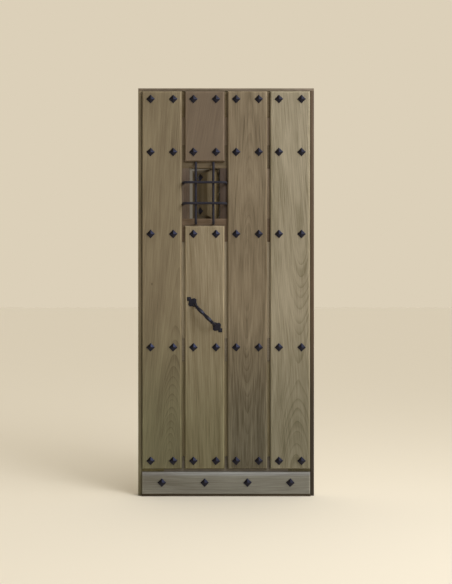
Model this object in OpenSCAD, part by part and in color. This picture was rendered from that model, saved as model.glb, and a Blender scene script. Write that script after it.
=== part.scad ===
// Castilian plank door: a framed and panelled leaf faced with nailed planks, a barred peephole with
// its own shutter, a forged twisted pull, and a slim frame that carries the leaf on three butt hinges.
// Millimetres, +Z up. The outside face looks toward -Y, and Y = 0 is the front plane of the frame.

/* [Frame] */
// overall width of the frame
frame_w = 906; // [780:1:1100]
// overall height of the frame
frame_h = 2100; // [1800:1:2500]
// depth of the frame, front to back, and of the leaf's framing, which is flush with it
frame_d = 45; // [36:0.5:60]
// thickness of the jambs, seen from the front
jamb_t = 18; // [14:0.5:40]
// thickness of the head, seen from the front
head_t = 14; // [12:0.5:40]
// how far the rebate is cut into the lock jamb
lock_rebate = 7; // [4:0.5:10]
// how far the rebate is cut into the head
head_rebate = 5; // [3:0.5:7]
// depth of the lip in front of the rebates
lip_d = 24; // [16:0.5:30]
// joint left open all round the leaf
fit_gap = 3; // [2.5:0.1:5]
// height of the threshold under the leaf
threshold_h = 5; // [4:0.5:20]
// height of the threshold's stop, in front of the leaf
stop_h = 11; // [8:0.5:25]
// how far the threshold stands out in front of the frame
stop_d = 14; // [10:0.5:22]
// joint between the threshold's stop and the kickboard
stop_gap = 2; // [1:0.5:4]
// diameter of the holes for the wall screws in the jambs
fixing_d = 6.5; // [5:0.5:8]
// distance between the two wall screws of a jamb
fixing_pitch = 1300; // [1100:10:1440]

/* [Leaf framing] */
// width of the two stiles
stile_w = 112; // [90:1:140]
// height of the top rail
top_rail_h = 132; // [90:1:180]
// height of the three rails in between
cross_rail_h = 118; // [100:1:150]
// height of the bottom rail
bottom_rail_h = 193; // [150:1:260]
// from the top of the leaf down to the top of the rail over the peephole
upper_rail_drop = 277; // [230:1:340]
// from the middle rail up to the rail under the peephole
middle_bay_h = 499; // [400:1:560]
// how far the stiles beside the peephole reach behind the next planks
window_stile_lap = 21.5; // [16:0.5:30]
// length of the tenons
tenon_l = 50; // [30:1:70]
// length of the short tenons beside the peephole
short_tenon_l = 25; // [15:1:40]
// thickness of the tenons
tenon_t = 15; // [10:0.5:18]
// from the front of the framing to the tenons
tenon_inset = 15; // [12:0.5:18]
// shoulder left above and below each tenon
tenon_shoulder = 12; // [11:0.5:20]
// thickness of the panels
panel_t = 20; // [14:0.5:24]
// how far the panels lie behind the front of the framing
panel_inset = 4; // [2:0.5:8]
// thickness of the panels' tongue
tongue_t = 10; // [6:0.5:12]
// how far the tongue reaches into its groove
tongue_l = 9.5; // [6:0.5:10]
// play of a panel in its framing
panel_play = 0.5; // [0.2:0.1:1.5]

/* [Planks] */
// gap between two planks
plank_gap = 14.7; // [8:0.1:24]
// thickness of the planks
plank_t = 18; // [12:0.5:24]
// chamfer round the planks
plank_chamfer = 6; // [2:0.5:9]
// thickness of the kickboard
kick_t = 22; // [16:0.5:26]
// height of the kickboard
kick_h = 111; // [80:1:150]
// height of the slope along the kickboard's top
kick_slope = 17; // [8:0.5:30]
// thickness left along the kickboard's top edge
kick_top_t = 8.4; // [5:0.1:12]
// gap between the kickboard and the planks
kick_gap = 16.5; // [8:0.5:30]

/* [Nails] */
// side of a square nail head
nail_head = 30; // [18:0.5:36]
// height of a nail head
nail_rise = 12; // [6:0.5:18]
// edge left square under the pyramid of a nail head
nail_edge = 2; // [1:0.5:4]
// diameter of a nail's shank
nail_d = 5; // [4:0.1:8]
// length of a nail under its head
nail_l = 43; // [30:1:50]
// distance between the two nail columns of a plank
nail_spread = 116; // [80:1:130]
// from the top of the leaf down to the first row of nails
nail_top_drop = 42; // [30:1:60]
// from the top of the peephole up to the second row
nail_upper_lift = 81; // [65:1:95]
// from the foot of the peephole down to the third row
nail_window_drop = 80; // [70:1:95]
// from the foot of the middle rail up to the fourth row
nail_middle_lift = 73; // [25:1:90]
// from the top of the bottom rail down to the fifth row
nail_bottom_drop = 18; // [12:1:25]
// from the foot of the kickboard up to its nails
nail_kick_lift = 59; // [40:1:65]

/* [Peephole] */
// width of the peephole
window_w = 157.5; // [130:0.5:180]
// height of the peephole
window_h = 260; // [200:1:320]
// from the peephole up to the plank above it
window_top_margin = 33; // [26:0.5:40]
// from the peephole down to the plank below it
window_foot_margin = 37; // [33:0.5:44]
// diameter of the grille's bars
bar_d = 12; // [8:0.5:16]
// bend at the ends of the bars, along the middle of the bar
bar_bend = 28; // [14:0.5:32]
// how far the upright bars stand off the framing
bar_stand = 40; // [34:0.5:60]
// distance between the upright bars
upright_pitch = 90; // [60:1:110]
// distance between the level bars
level_pitch = 107; // [80:1:140]
// how far the pair of level bars lies under the peephole's middle
level_drop = 1.5; // [0:0.5:20]
// how far the bars are let into the framing
bar_bury = 25; // [15:1:30]

/* [Shutter] */
// angle by which the shutter stands open
shutter_rest = 40; // [0:1:100]
// joint left open round the shutter
shutter_gap = 2; // [1.5:0.1:4]
// from the sides of the peephole to the shutter's raised panel
raised_side = 13.75; // [11:0.25:30]
// from the ends of the peephole to the shutter's raised panel
raised_end = 5; // [4:0.5:30]
// how far the raised panel is set toward the hinges
raised_shift = 1.5; // [0:0.5:3]
// slope round the raised panel, measured across its face
raised_slope = 15; // [8:0.5:22]
// from the ends of the raised panel to its nails
raised_nail_in = 38; // [30:1:60]
// width of the lath that closes on the leaf
lath_w = 40; // [30:1:50]
// how far the lath reaches past the peephole
lath_lap = 16; // [8:0.5:20]
// thickness of the lath
lath_t = 12; // [8:0.5:16]

/* [Pull handle] */
// from the third row of nails down to the handle's middle
handle_drop = 414; // [380:1:440]
// length of the handle, tip to tip
handle_l = 255; // [220:1:280]
// distance between the handle's feet
handle_feet = 140; // [120:1:160]
// finger room between the grip and the plank
handle_room = 35; // [28:0.5:45]
// side of the twisted square grip
grip_s = 13; // [10:0.5:16]
// turn of the twist from end to end, in degrees
grip_twist = 360; // [180:90:900]
// diameter of the collars at the ends of the twist
collar_d = 20; // [19:0.5:24]
// bend between the grip and its feet, along the middle of the bar
grip_bend = 16; // [12:0.5:20]
// thickness of the end plates
plate_t = 3; // [2:0.5:5]

/* [Hinges] */
// height of a butt hinge
hinge_h = 100; // [80:1:130]
// thickness of a hinge leaf
flap_t = 2.5; // [2:0.1:3.5]
// how far a hinge leaf reaches onto the wood
flap_w = 28; // [22:0.5:32]
// diameter of the knuckles
knuckle_d = 12; // [10:0.5:16]
// diameter of the hinge pins
pin_d = 6; // [4:0.1:8]
// from the ends of a hinge to its outer screws
flap_screw_in = 12; // [8:0.5:16]
// distance between the two inner screws of a hinge leaf
flap_screw_gap = 28; // [20:1:40]
// from the ends of the frame to the middle of the outer hinges
hinge_inset = 230; // [150:1:300]
// height of a shutter hinge
small_hinge_h = 110; // [80:1:116]
// diameter of a shutter hinge's knuckles
small_knuckle_d = 10; // [8:0.5:12]
// diameter of a shutter hinge's pin
small_pin_d = 5; // [3:0.1:6]
// width of a shutter hinge's leaf
small_flap_w = 30; // [24:0.5:32]
// distance between the two screws of a shutter hinge's leaf
small_screw_pitch = 84; // [50:1:90]
// distance between the two shutter hinges
small_hinge_pitch = 124; // [118:1:140]

/* [Bolt and button] */
// diameter of the bolt
bolt_d = 12; // [8:0.5:16]
// length of the bolt
bolt_l = 160; // [120:1:180]
// length of the bolt's back plate
bolt_plate_l = 158; // [120:1:180]
// height of the bolt's back plate
bolt_plate_h = 44; // [36:1:60]
// thickness of the bolt's plates
bolt_plate_t = 2.5; // [2:0.5:4]
// wall of the bolt's guides
guide_wall = 4.5; // [3:0.5:6]
// length of a guide
guide_l = 14; // [10:0.5:20]
// from the ends of the back plate to the middle of the guides
guide_in = 23; // [18:0.5:30]
// length of the finger knob's stem
knob_stem_l = 24; // [18:0.5:30]
// diameter of the finger knob
knob_d = 16; // [12:0.5:20]
// play of the bolt in its keeper
keeper_play = 1.5; // [0.5:0.1:2]
// height of the keeper's plate
keeper_h = 64; // [48:1:80]
// length of the shutter's turn button
button_l = 56; // [44:1:64]
// width of the shutter's turn button
button_w = 16; // [12:0.5:20]

/* [Hidden] */
$fn = 48;

// clearances: a pin in its knuckle, a shank in its hole, the end of a tenon in its mortise
pin_play = 0.05;
hole_play = 0.1;
mortise_play = 1;

// a shutter behind the framing, two knuckles, the two leaves of a closed hinge
seat_play = 0.4;
knuckle_play = 0.3;
flap_play = 0.3;

// how far a cutting shape runs past the face it cuts
cut = 1;

// the leaf inside its frame
inner_x = frame_w / 2 - jamb_t;
leaf_x = inner_x - fit_gap;
leaf_z0 = threshold_h + fit_gap;
leaf_z1 = frame_h - head_t - fit_gap;
lip_gap = 1;
leaf_lip_y = lip_d + lip_gap;
bay_x = leaf_x - stile_w;

// levels of the rails, each as bottom and top
bottom_rail_z = [leaf_z0, leaf_z0 + bottom_rail_h];
upper_rail_z = [leaf_z1 - upper_rail_drop - cross_rail_h, leaf_z1 - upper_rail_drop];
window_z = [upper_rail_z[0] - window_h, upper_rail_z[0]];
window_rail_z = [window_z[0] - cross_rail_h, window_z[0]];
middle_rail_z = [window_rail_z[0] - middle_bay_h - cross_rail_h, window_rail_z[0] - middle_bay_h];
top_rail_z = [leaf_z1 - top_rail_h, leaf_z1];
window_mid_z = (window_z[0] + window_z[1]) / 2;

// the planks, in four columns
plank_w = (2 * leaf_x - 3 * plank_gap) / 4;
plank_pitch = plank_w + plank_gap;
plank_x = [for (i = [0:3]) (i - 1.5) * plank_pitch];
kick_z = [stop_h + stop_gap, stop_h + stop_gap + kick_h];
plank_z0 = kick_z[1] + kick_gap;

// the peephole, in the middle of the second column
window_x = [plank_x[1] - window_w / 2, plank_x[1] + window_w / 2];
next_plank = plank_pitch - plank_w / 2;
window_stiles_x = [
    [plank_x[1] - next_plank - window_stile_lap, window_x[0]],
    [window_x[1], plank_x[1] + next_plank + window_stile_lap]
];

// nails: five rows, one on each rail, with two nails to a plank
nail_rows = [
    leaf_z1 - nail_top_drop,
    window_z[1] + nail_upper_lift,
    window_z[0] - nail_window_drop,
    middle_rail_z[0] + nail_middle_lift,
    bottom_rail_z[1] - nail_bottom_drop
];
plank_nail_points = [for (x = plank_x, side = [-1, 1], z = nail_rows) [x + side * nail_spread / 2, z]];
kick_nail_points = [for (x = plank_x) [x, kick_z[0] + nail_kick_lift]];

// tenons and panel tongues, from front to back
tenon_y = [tenon_inset, tenon_inset + tenon_t];
panel_y = [panel_inset, panel_inset + panel_t];
tongue_y = [panel_inset + (panel_t - tongue_t) / 2, panel_inset + (panel_t + tongue_t) / 2];

// grille: where the bent ends enter the wood, just clear of the planks
bar_clear = 1.2;
bar_r = bar_d / 2;
level_reach = next_plank - bar_r - bar_clear;
upright_reach = window_h / 2 + window_top_margin - bar_r - bar_clear;
upright_x = [plank_x[1] - upright_pitch / 2, plank_x[1] + upright_pitch / 2];
level_z = [for (side = [-1, 1]) window_mid_z - level_drop + side * level_pitch / 2];
level_stand = bar_stand + bar_d + hole_play;

// butt hinges
knuckle_stand = 0.5;
hinge_axis = [inner_x - fit_gap / 2, frame_d + knuckle_d / 2 + knuckle_stand];
hinge_levels = [hinge_inset, frame_h / 2, frame_h - hinge_inset];
flap_seat = flap_t + flap_play / 2 - fit_gap / 2;
flap_screw_end = hinge_h / 2 - flap_screw_in;
flap_screw_z = [-flap_screw_end, -flap_screw_gap / 2, flap_screw_gap / 2, flap_screw_end];
flap_screw_stagger = 5;
pin_head_d = 9;
pin_head_h = 3;
screw_r = 2;
screw_head_r = 4;
slot_w = 1;
slot_depth = 0.8;
jamb_screw_l = 14;
door_screw_l = 25;

// shutter hinges and the shutter, first drawn closed
small_knuckle_stand = 1.5;
small_axis = [window_x[1] - shutter_gap / 2, frame_d + small_knuckle_d / 2 + small_knuckle_stand];
small_levels = [window_mid_z - small_hinge_pitch / 2, window_mid_z + small_hinge_pitch / 2];
small_flap_t = 2;
small_screw_l = 18;
small_screw_in = 12;
web_bite = 0.5;
shutter_x1 = window_x[1] - shutter_gap;
shutter_x0 = window_x[0] + shutter_gap;
shutter_z = [window_z[0] + shutter_gap, window_z[1] - shutter_gap];
shutter_back = frame_d + seat_play;
raised_w = window_w - 2 * raised_side;
raised_h = window_h - 2 * raised_end;
raised_x = (shutter_x0 + shutter_x1) / 2 + raised_shift;

// the free edge is cut back so that its front corner swings clear of the peephole
swing_r = small_axis[0] - shutter_x0;
shutter_edge_x = small_axis[0] - sqrt(swing_r * swing_r - small_axis[1] * small_axis[1]);

// pull handle, set at 45 degrees on the second plank
handle_z = nail_rows[2] - handle_drop;
handle_foot_r = grip_s / 2;
handle_stand = handle_room + grip_s * sqrt(2) / 2;
handle_tenon_r = 5;
handle_tenon_l = 16;
tip_s = 19;
handle_nail_r = 2;
handle_nail_l = 16;
handle_nail_at = handle_l / 2 - tip_s * sqrt(2) / 2;

// bolt on the back of the leaf, level with the rail under the peephole
bolt_z = (window_rail_z[0] + window_rail_z[1]) / 2;
guide_base = 1;
bolt_y = frame_d + bolt_plate_t + guide_base + guide_wall + bolt_d / 2;
bolt_drawn = 5;
bolt_x0 = -leaf_x - lock_rebate + bolt_drawn;
bolt_plate_in = 4;
bolt_plate_x = [bolt_plate_in - leaf_x, bolt_plate_in - leaf_x + bolt_plate_l];
bolt_plate_mid = (bolt_plate_x[0] + bolt_plate_x[1]) / 2;
guide_x = bolt_plate_x + [guide_in, -guide_in];
bolt_screw_in = 8;
bolt_screw_edge = 6;
bolt_screw_l = 22;
bolt_screw_x = [bolt_plate_x[0] + bolt_screw_in, bolt_plate_mid, bolt_plate_x[1] - bolt_screw_in];
knob_stem_r = 4;
knob_shift = 8;
keeper_w = jamb_t - lock_rebate;

// turn button beside the shutter
button_gap = 9;
button_x = window_x[0] - lath_lap - button_w / 2 - button_gap;
button_lift = 0.6;
button_y = shutter_back + lath_t + button_lift;
button_t = 6;
button_pin_r = 3;
button_boss_r = 7;
button_head_r = 6;
button_head_h = 2.5;
button_anchor = 20;

// holes for the wall screws, in the back half of each jamb
fixing_y = (lip_d + frame_d) / 2;
fixing_z = [frame_h / 2 - fixing_pitch / 2, frame_h / 2 + fixing_pitch / 2];
fixing_head_r = 6;

iroko = [0.47, 0.40, 0.31];
iroko_light = [0.53, 0.46, 0.36];
iroko_dark = [0.36, 0.31, 0.24];
iron = [0.16, 0.16, 0.18];
steel = [0.34, 0.33, 0.32];

// a block given by its two ends along each axis
module block(x, y, z) {
    translate([x[0], y[0], z[0]])
        cube([x[1] - x[0], y[1] - y[0], z[1] - z[0]]);
}

// places children on a face that looks to the front, with their Z pointing out of it
module on_front(x, y, z) {
    translate([x, y, z])
        rotate([90, 0, 0])
            children();
}

// places children on a face that looks to the back, with their Z pointing out of it
module on_back(x, y, z) {
    translate([x, y, z])
        rotate([-90, 0, 0])
            children();
}

// countersunk screw with the top of its head at Z = 0
module screw(length) {
    head_l = screw_head_r - screw_r;
    difference() {
        translate([0, 0, -head_l])
            cylinder(h = head_l, r1 = screw_r, r2 = screw_head_r);
        translate([0, 0, -slot_depth / 2 + cut / 2])
            cube([2 * screw_head_r + cut, slot_w, slot_depth + cut], center = true);
    }
    translate([0, 0, -length])
        cylinder(h = length - head_l, r = screw_r);
}

// hole for that screw, open past the face
module screw_hole(length) {
    head_l = screw_head_r - screw_r;
    translate([0, 0, -head_l])
        cylinder(h = head_l + cut, r1 = screw_r + hole_play, r2 = screw_head_r + hole_play + cut);
    translate([0, 0, -length - cut])
        cylinder(h = length + cut, r = screw_r + hole_play);
}

// nail with a pyramid head standing on one corner, its seat at Z = 0
module nail() {
    gable = [
        [-nail_head / 2, 0], [nail_head / 2, 0], [nail_head / 2, nail_edge],
        [0, nail_rise], [-nail_head / 2, nail_edge]
    ];
    rotate(45)
        intersection() {
            rotate([90, 0, 0])
                linear_extrude(nail_head, center = true)
                    polygon(gable);
            rotate([90, 0, 90])
                linear_extrude(nail_head, center = true)
                    polygon(gable);
        }
    translate([0, 0, -nail_l])
        cylinder(h = nail_l, d = nail_d);
}

module nails(points, face_y) {
    for (p = points)
        on_front(p[0], face_y, p[1])
            nail();
}

// holes for the nails that fall within a board's outline
module nail_holes(points, face_y, x, z) {
    for (p = points)
        if (p[0] > x[0] && p[0] < x[1] && p[1] > z[0] && p[1] < z[1])
            on_front(p[0], face_y, p[1])
                translate([0, 0, -nail_l - cut])
                    cylinder(h = nail_l + 2 * cut, d = nail_d + 2 * hole_play);
}

module board_nail_holes(x, z) {
    nail_holes(plank_nail_points, -plank_t, x, z);
    nail_holes(kick_nail_points, -kick_t, x, z);
}

// panels lie in these bays, each given as [x ends, z ends]
top_bay = [[-bay_x, bay_x], [upper_rail_z[1], top_rail_z[0]]];
left_bay = [[-bay_x, window_stiles_x[0][0]], window_z];
right_bay = [[window_stiles_x[1][1], bay_x], window_z];
middle_bay = [[-bay_x, bay_x], [middle_rail_z[1], window_rail_z[0]]];
lower_bay = [[-bay_x, bay_x], [bottom_rail_z[1], middle_rail_z[0]]];
bays = [top_bay, left_bay, right_bay, middle_bay, lower_bay];

module panel(bay) {
    inset = [panel_play, -panel_play];
    tongue = [-tongue_l, tongue_l];
    color(iroko_dark)
        union() {
            block(bay[0] + inset, panel_y, bay[1] + inset);
            block(bay[0] + tongue, tongue_y, bay[1] + tongue);
        }
}

module panel_grooves() {
    reach = tongue_l + panel_play;
    for (bay = bays)
        block(bay[0] + [-reach, reach], tongue_y, bay[1] + [-reach, reach]);
}

// the part of a rail's height, or of a short stile's width, that is left for its tenon
function tenon_span(ends) = ends + [tenon_shoulder, -tenon_shoulder];

module rail_mortises(x) {
    for (rail = [bottom_rail_z, middle_rail_z, window_rail_z, upper_rail_z, top_rail_z])
        block(x, tenon_y, tenon_span(rail));
}

module window_stile_mortises() {
    deep = short_tenon_l + mortise_play;
    for (x = window_stiles_x) {
        block(tenon_span(x), tenon_y, [window_z[1] - cut, window_z[1] + deep]);
        block(tenon_span(x), tenon_y, [window_z[0] - deep, window_z[0] + cut]);
    }
}

// a rail between the stiles, with a tenon at each end
module rail(z) {
    x = [-bay_x, bay_x];
    color(iroko)
        difference() {
            union() {
                block(x, [0, frame_d], z);
                block(x + [-tenon_l, tenon_l], tenon_y, tenon_span(z));
                children();
            }
            panel_grooves();
            window_stile_mortises();
            board_nail_holes(x + [-tenon_l, tenon_l], z);
            bar_holes();
            bolt_screws(true);
        }
}

// the leaf's edge, stepped where it closes behind the lips of the frame
module stile(x, lip_x) {
    block(x, [0, leaf_lip_y], [leaf_z0, leaf_z1]);
    block(lip_x, [leaf_lip_y, frame_d], [leaf_z0, leaf_z1 + head_rebate]);
}

module lock_stile() {
    x = [-leaf_x, -bay_x];
    color(iroko)
        difference() {
            stile(x, x - [lock_rebate, 0]);
            rail_mortises([-bay_x - tenon_l - mortise_play, -bay_x + cut]);
            panel_grooves();
            board_nail_holes(x, [leaf_z0, leaf_z1]);
            bolt_screws(true);
        }
}

module hinge_stile() {
    x = [bay_x, leaf_x];
    color(iroko)
        difference() {
            stile(x, x);
            rail_mortises([bay_x - cut, bay_x + tenon_l + mortise_play]);
            panel_grooves();
            board_nail_holes(x, [leaf_z0, leaf_z1]);
            flap_seats([leaf_x - flap_seat, leaf_x + cut]);
            hinge_screws(-1, door_screw_l, true);
        }
}

module top_rail() {
    rail(top_rail_z)
        block([-bay_x, bay_x], [leaf_lip_y, frame_d], top_rail_z + [0, head_rebate]);
}

module upper_rail() {
    rail(upper_rail_z);
}

module window_rail() {
    rail(window_rail_z);
}

module middle_rail() {
    rail(middle_rail_z);
}

module bottom_rail() {
    rail(bottom_rail_z);
}

module window_stile(x) {
    color(iroko)
        difference() {
            union() {
                block(x, [0, frame_d], window_z);
                block(tenon_span(x), tenon_y, window_z + [-short_tenon_l, short_tenon_l]);
            }
            panel_grooves();
            bar_holes();
            fixed_screws(true);
            button_hole();
        }
}

module window_stile_left() {
    window_stile(window_stiles_x[0]);
}

module window_stile_right() {
    window_stile(window_stiles_x[1]);
}

module top_panel() {
    panel(top_bay);
}

module side_panel_left() {
    panel(left_bay);
}

module side_panel_right() {
    panel(right_bay);
}

module middle_panel() {
    panel(middle_bay);
}

module lower_panel() {
    panel(lower_bay);
}

// outline of a board seen on end, lying on the line Y = 0, with its front edges chamfered
module board_end(width, thickness, chamfer) {
    polygon([
        [-width / 2, 0], [width / 2, 0],
        [width / 2, chamfer - thickness], [width / 2 - chamfer, -thickness],
        [chamfer - width / 2, -thickness], [-width / 2, chamfer - thickness]
    ]);
}

// a plank with all four front edges chamfered
module plank(x, z) {
    length = z[1] - z[0];
    color(iroko_light)
        difference() {
            intersection() {
                translate([x, 0, z[0]])
                    linear_extrude(length)
                        board_end(plank_w, plank_t, plank_chamfer);
                translate([x, 0, (z[0] + z[1]) / 2])
                    rotate([0, -90, 0])
                        linear_extrude(plank_w, center = true)
                            board_end(length, plank_t, plank_chamfer);
            }
            board_nail_holes([x - plank_w / 2, x + plank_w / 2], z);
            handle_holes();
        }
}

module plank_1() {
    plank(plank_x[0], [plank_z0, leaf_z1]);
}

module plank_2_upper() {
    plank(plank_x[1], [window_z[1] + window_top_margin, leaf_z1]);
}

module plank_2_lower() {
    plank(plank_x[1], [plank_z0, window_z[0] - window_foot_margin]);
}

module plank_3() {
    plank(plank_x[2], [plank_z0, leaf_z1]);
}

module plank_4() {
    plank(plank_x[3], [plank_z0, leaf_z1]);
}

// weather board along the foot of the leaf, with a sloping top that sheds water
module kickboard() {
    drip = 3;
    color(iroko_light)
        difference() {
            intersection() {
                translate([0, 0, kick_z[0]])
                    linear_extrude(kick_h)
                        board_end(2 * leaf_x, kick_t, plank_chamfer);
                rotate([90, 0, 90])
                    linear_extrude(2 * leaf_x, center = true)
                        polygon([
                            [0, kick_z[0]], [0, kick_z[1]], [-kick_top_t, kick_z[1]],
                            [-kick_t, kick_z[1] - kick_slope], [-kick_t, kick_z[0] + drip],
                            [drip - kick_t, kick_z[0]]
                        ]);
            }
            nail_holes(kick_nail_points, -kick_t, [-leaf_x, leaf_x], kick_z);
        }
}

module plank_nails() {
    color(iron)
        nails(plank_nail_points, -plank_t);
}

module kickboard_nails() {
    color(iron)
        nails(kick_nail_points, -kick_t);
}

// a round bar along X with both ends bent back into the wood, its foot at Z = 0
module staple_bar(reach, stand) {
    rise = stand - bar_bend;
    translate([bar_bend - reach, 0, stand])
        rotate([0, 90, 0])
            cylinder(h = 2 * (reach - bar_bend), r = bar_r);
    for (turn = [0, 180])
        rotate(turn) {
            translate([reach - bar_bend, 0, rise])
                rotate([90, 0, 0])
                    rotate_extrude(angle = 90)
                        translate([bar_bend, 0])
                            circle(bar_r);
            translate([reach, 0, -bar_bury])
                cylinder(h = bar_bury + rise, r = bar_r);
        }
}

module upright_bar(x) {
    color(iron)
        on_front(x, 0, window_mid_z)
            rotate(90)
                staple_bar(upright_reach, bar_stand);
}

module level_bar(z) {
    color(iron)
        on_front(plank_x[1], 0, z)
            staple_bar(level_reach, level_stand);
}

// blind holes in the framing for the ends of the bars
module bar_holes() {
    feet = concat(
        [for (x = upright_x, side = [-1, 1]) [x, window_mid_z + side * upright_reach]],
        [for (z = level_z, side = [-1, 1]) [plank_x[1] + side * level_reach, z]]
    );
    for (f = feet)
        on_front(f[0], 0, f[1])
            translate([0, 0, -bar_bury])
                cylinder(h = bar_bury + cut, r = bar_r + hole_play);
}

module grille_bar_left() {
    upright_bar(upright_x[0]);
}

module grille_bar_right() {
    upright_bar(upright_x[1]);
}

module grille_bar_upper() {
    level_bar(level_z[1]);
}

module grille_bar_lower() {
    level_bar(level_z[0]);
}

// the handle's own frame: X runs down its diagonal, Z stands out of the plank
module on_handle() {
    translate([plank_x[1], -plank_t, handle_z])
        rotate([0, 45, 0])
            rotate([90, 0, 0])
                children();
}

// twisted square bar between two collars, bent back to a foot at each end
module handle_bar() {
    grip_l = handle_feet - 2 * grip_bend;
    grip_slices = grip_twist / 10;
    collar_l = 7;
    rise = handle_stand - grip_bend;
    color(iron)
        on_handle() {
            translate([0, 0, handle_stand])
                rotate([0, 90, 0])
                    linear_extrude(grip_l, center = true, twist = grip_twist, slices = grip_slices, $fn = 4)
                        square(grip_s, center = true);
            for (turn = [0, 180])
                rotate(turn) {
                    translate([grip_l / 2 - collar_l / 2, 0, handle_stand])
                        rotate([0, 90, 0])
                            cylinder(h = collar_l, d = collar_d);
                    translate([grip_l / 2, 0, rise])
                        rotate([90, 0, 0])
                            rotate_extrude(angle = 90)
                                translate([grip_bend, 0])
                                    circle(handle_foot_r);
                    translate([handle_feet / 2, 0, plate_t])
                        cylinder(h = rise - plate_t, r = handle_foot_r);
                    translate([handle_feet / 2, 0, -handle_tenon_l])
                        cylinder(h = handle_tenon_l + plate_t, r = handle_tenon_r);
                }
        }
}

// end plate: a boss under the foot, a broad body with two curled lobes and their eyes, and a square tip
module handle_plate_outline() {
    lobe_in = 38.5;
    lobe_x = handle_l / 2 - lobe_in;
    lobe_y = 17;
    lobe_r = 8.5;
    body_r = 8;
    body_y = 9;
    shoulder_l = 8;
    eye_r = 3;
    eye_back = 3;
    eye_out = 1;
    eye = [lobe_x - eye_back, lobe_y + eye_out];
    boss_r = 12;
    neck_w = 15;
    difference() {
        union() {
            translate([handle_feet / 2, 0])
                circle(boss_r);
            translate([handle_nail_at, 0])
                rotate(45)
                    square(tip_s, center = true);
            translate([handle_feet / 2, -neck_w / 2])
                square([handle_nail_at - handle_feet / 2, neck_w]);
            hull() {
                translate([handle_feet / 2, 0])
                    circle(body_r);
                for (side = [-1, 1])
                    translate([lobe_x, side * body_y])
                        circle(body_r);
                translate([lobe_x + shoulder_l, 0])
                    circle(body_r);
            }
            for (side = [-1, 1])
                translate([lobe_x, side * lobe_y])
                    circle(lobe_r);
        }
        for (side = [-1, 1])
            translate([eye[0], side * eye[1]])
                circle(eye_r);
        translate([handle_feet / 2, 0])
            circle(handle_tenon_r + hole_play);
        translate([handle_nail_at, 0])
            circle(handle_nail_r + hole_play);
    }
}

module handle_plate(turn) {
    color(iron)
        on_handle()
            rotate(turn)
                linear_extrude(plate_t)
                    handle_plate_outline();
}

module handle_plate_upper() {
    handle_plate(180);
}

module handle_plate_lower() {
    handle_plate(0);
}

// one round-headed nail through the tip of each end plate
module handle_nails() {
    head_r = 5;
    head_rise = 2.5;
    dome_r = (head_r * head_r + head_rise * head_rise) / (2 * head_rise);
    color(iron)
        on_handle()
            for (side = [-1, 1])
                translate([side * handle_nail_at, 0, 0]) {
                    translate([0, 0, -handle_nail_l])
                        cylinder(h = handle_nail_l + plate_t, r = handle_nail_r);
                    intersection() {
                        translate([0, 0, plate_t + head_rise - dome_r])
                            sphere(dome_r);
                        translate([0, 0, plate_t])
                            cylinder(h = head_rise, r = head_r);
                    }
                }
}

module handle_holes() {
    on_handle()
        for (side = [-1, 1]) {
            translate([side * handle_feet / 2, 0, -handle_tenon_l - cut])
                cylinder(h = handle_tenon_l + 2 * cut, r = handle_tenon_r + hole_play);
            translate([side * handle_nail_at, 0, -handle_nail_l - cut])
                cylinder(h = handle_nail_l + 2 * cut, r = handle_nail_r + hole_play);
        }
}

// ends of one knuckle, counted from the foot of a hinge with three of them
function knuckle_z(k, height) =
    [k, k + 1] * height / 3 - [1, 1] * height / 2 + [knuckle_play, -knuckle_play] / 2;

// one leaf of a butt hinge round an axis along Z: side is 1 on the jamb and -1 on the door
module butt_leaf(side, parts) {
    knuckle_r = knuckle_d / 2;
    reach = hinge_axis[1] - frame_d + flap_w;
    near = flap_play / 2;
    plate_x = side > 0 ? [near, near + flap_t] : [-near - flap_t, -near];
    difference() {
        union() {
            block(plate_x, [-reach, -knuckle_r - knuckle_play], [-hinge_h / 2, hinge_h / 2]);
            for (k = parts) {
                z = knuckle_z(k, hinge_h);
                block(plate_x, [-knuckle_r - knuckle_play, 0], z);
                translate([0, 0, z[0]])
                    cylinder(h = z[1] - z[0], r = knuckle_r);
            }
        }
        translate([0, 0, -hinge_h])
            cylinder(h = 2 * hinge_h, d = pin_d + 2 * pin_play);
        flap_screws(side, jamb_screw_l, true);
    }
}

// screws of one hinge leaf, or the holes for them
module flap_screws(side, length, hole) {
    mid = frame_d - hinge_axis[1] - flap_w / 2;
    for (i = [0:len(flap_screw_z) - 1]) {
        shift = i % 2 == 0 ? flap_screw_stagger : -flap_screw_stagger;
        translate([side * flap_play / 2, mid + shift, flap_screw_z[i]])
            rotate([0, -90 * side, 0])
                if (hole)
                    screw_hole(length);
                else
                    screw(length);
    }
}

module at_hinge(level) {
    translate([hinge_axis[0], hinge_axis[1], level])
        children();
}

module hinge_screws(side, length, hole) {
    for (level = hinge_levels)
        at_hinge(level)
            flap_screws(side, length, hole);
}

// the shallow seats cut for the hinge leaves
module flap_seats(x) {
    for (level = hinge_levels)
        block(x, [frame_d - flap_w, frame_d + cut], [level - hinge_h / 2, level + hinge_h / 2]);
}

module jamb_leaf(level) {
    color(steel)
        at_hinge(level)
            butt_leaf(1, [0, 2]);
}

module door_leaf(level) {
    color(steel)
        at_hinge(level)
            butt_leaf(-1, [1]);
}

module hinge_bottom_jamb_leaf() {
    jamb_leaf(hinge_levels[0]);
}

module hinge_middle_jamb_leaf() {
    jamb_leaf(hinge_levels[1]);
}

module hinge_top_jamb_leaf() {
    jamb_leaf(hinge_levels[2]);
}

module hinge_bottom_door_leaf() {
    door_leaf(hinge_levels[0]);
}

module hinge_middle_door_leaf() {
    door_leaf(hinge_levels[1]);
}

module hinge_top_door_leaf() {
    door_leaf(hinge_levels[2]);
}

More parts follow.
